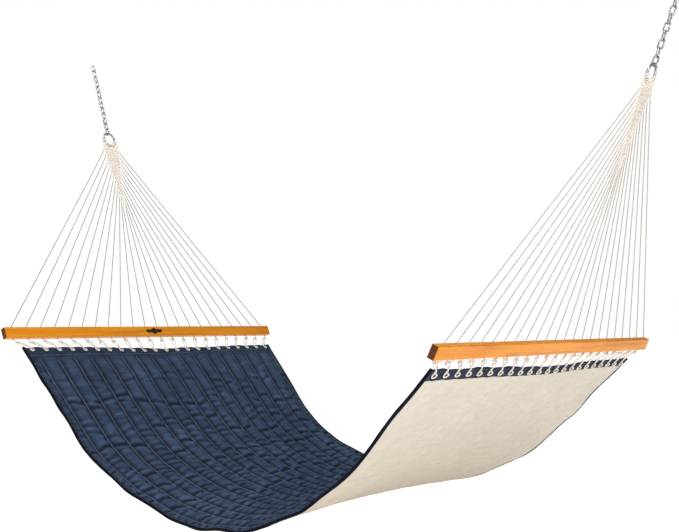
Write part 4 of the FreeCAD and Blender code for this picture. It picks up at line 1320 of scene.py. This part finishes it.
def binding_section():
    """The tape's section: how far in from the outer edge, and how far above the middle plane."""
    top = [(11.2 * MM, 2.4 * MM), (10.9 * MM, 4.1 * MM), (9.0 * MM, 4.2 * MM), (6.4 * MM, 4.6 * MM),
           (3.6 * MM, 4.3 * MM), (1.4 * MM, 3.0 * MM), (0.3 * MM, 1.4 * MM)]
    return top + [(inward, -height) for inward, height in reversed(top)]


# ---- building ----

for side in ("left", "right"):
    cord_lengths = make_clew(side)
    make_lacing(side)
    make_eyelets(side)
    make_hem(side)
    hem_stitches(side)
    print("clew cord lengths", side, [round(x, 3) for x in cord_lengths])
make_quilt()
for edge in ("near", "far"):
    make_binding(edge)


# ---- stage, light and camera ----

FLOOR_DROP = 0.36
WHITE = (1.0, 1.0, 1.0)
SKY_STRENGTH = 0.30
KEY_LIGHT = Vector((0.2, -1.5, 3.3))
FRONT_LIGHT = Vector((3.8, -2.2, 1.0))
CAMERA_PLACE = Vector((3.613, -2.991, -1.018))
CAMERA_YAW = math.radians(52.79)
CAMERA_PITCH = math.radians(2.276)
CAMERA_ROLL = math.radians(0.929)
CAMERA_LENS = 57.07


def make_floor():
    """A white floor that glows enough to meet the white world, with a painted shadow: it glows less under
    the hammock.
    """
    reach = 40.0
    z = cad_low[2] - FLOOR_DROP
    corners = [(-reach, -reach, z), (reach, -reach, z), (reach, reach, z), (-reach, reach, z)]
    mesh = bpy.data.meshes.new("floor")
    mesh.from_pydata(corners, [], [(0, 1, 2, 3)])
    made = Finish("floor", {"Roughness": 0.9, "Specular IOR Level": 0.0, "Emission Strength": 1.0})
    made.colour(made.ramp(made.noise(made.place(), 3.0), (0.3, 0.93), (0.7, 0.96)))
    # Painted shadow: the floor glows less near the middle, under the hammock.
    away = made.add("VectorMath", {"operation": "DISTANCE"}, {1: (span / 2, 0.0, z)})
    made.link(made.place(), away.inputs[0])
    glow_with_painted_shadow = made.ramp(made.math("MULTIPLY", away.outputs["Value"], 0.2), (0.12, 0.22), (0.25, 0.80))
    made.link(glow_with_painted_shadow, made.inputs["Emission Color"])
    mesh.materials.append(made.material)
    floor = placed("floor", mesh)


def make_world():
    """White all round for the camera; for light, a little brighter overhead."""
    world = bpy.data.worlds.new("world")
    bpy.context.scene.world = world
    world.use_nodes = True
    made = Nodes(world.node_tree)
    seen = made.tree.nodes["Background"]
    seen.inputs["Color"].default_value = (*WHITE, 1.0)
    seen.inputs["Strength"].default_value = 1.0
    light = made.add("Background", values={"Strength": SKY_STRENGTH})
    split = made.add("SeparateXYZ")
    made.link(made.add("TexCoord").outputs["Generated"], split.inputs[0])
    height = made.math("MULTIPLY", made.math("ADD", split.outputs[2], 1.0), 0.5)
    sky = made.ramp(height, (0.35, (0.55, 0.55, 0.56)), (0.62, (0.75, 0.75, 0.76)), (0.9, WHITE))
    made.link(sky, light.inputs["Color"])
    choice = made.add("MixShader")
    rays = made.add("LightPath").outputs["Is Camera Ray"]
    for socket, source in zip(choice.inputs, (rays, light.outputs[0], seen.outputs[0])):
        made.link(source, socket)
    made.link(choice.outputs[0], made.tree.nodes["World Output"].inputs["Surface"])


def area_light(name, place, aim, width, power):
    data = bpy.data.lights.new(name, "AREA")
    data.shape = "SQUARE"
    data.size = width
    data.energy = power
    lamp = placed(name, data)
    lamp.location = place
    lamp.rotation_mode = "QUATERNION"
    lamp.rotation_quaternion = (Vector(aim) - Vector(place)).to_track_quat("-Z", "Y")


def make_lights():
    centre = (cad_low + cad_high) / 2
    area_light("key", centre + KEY_LIGHT, centre, width=1.2, power=105)
    area_light("front", centre + FRONT_LIGHT, centre, width=2.0, power=52)


def make_camera():
    """View from the near right, a little above the bars' height and tilted slightly up."""
    level = math.cos(CAMERA_PITCH)
    ahead = Vector((-math.cos(CAMERA_YAW) * level, math.sin(CAMERA_YAW) * level, math.sin(CAMERA_PITCH)))
    right = Vector((math.sin(CAMERA_YAW), math.cos(CAMERA_YAW), 0.0))
    up = right.cross(ahead)
    rolled_right = right * math.cos(CAMERA_ROLL) + up * math.sin(CAMERA_ROLL)
    rolled_up = up * math.cos(CAMERA_ROLL) - right * math.sin(CAMERA_ROLL)
    data = bpy.data.cameras.new("camera")
    data.lens = CAMERA_LENS
    data.sensor_width = 36.0
    data.sensor_fit = "HORIZONTAL"
    data.clip_end = 200.0
    camera = placed("camera", data)
    axes = Matrix((rolled_right, rolled_up, -ahead)).transposed()
    camera.matrix_world = Matrix.Translation(CAMERA_PLACE) @ axes.to_4x4()
    bpy.context.scene.camera = camera


make_floor()
make_world()
make_lights()
make_camera()
bpy.context.scene.view_settings.view_transform = "Standard"
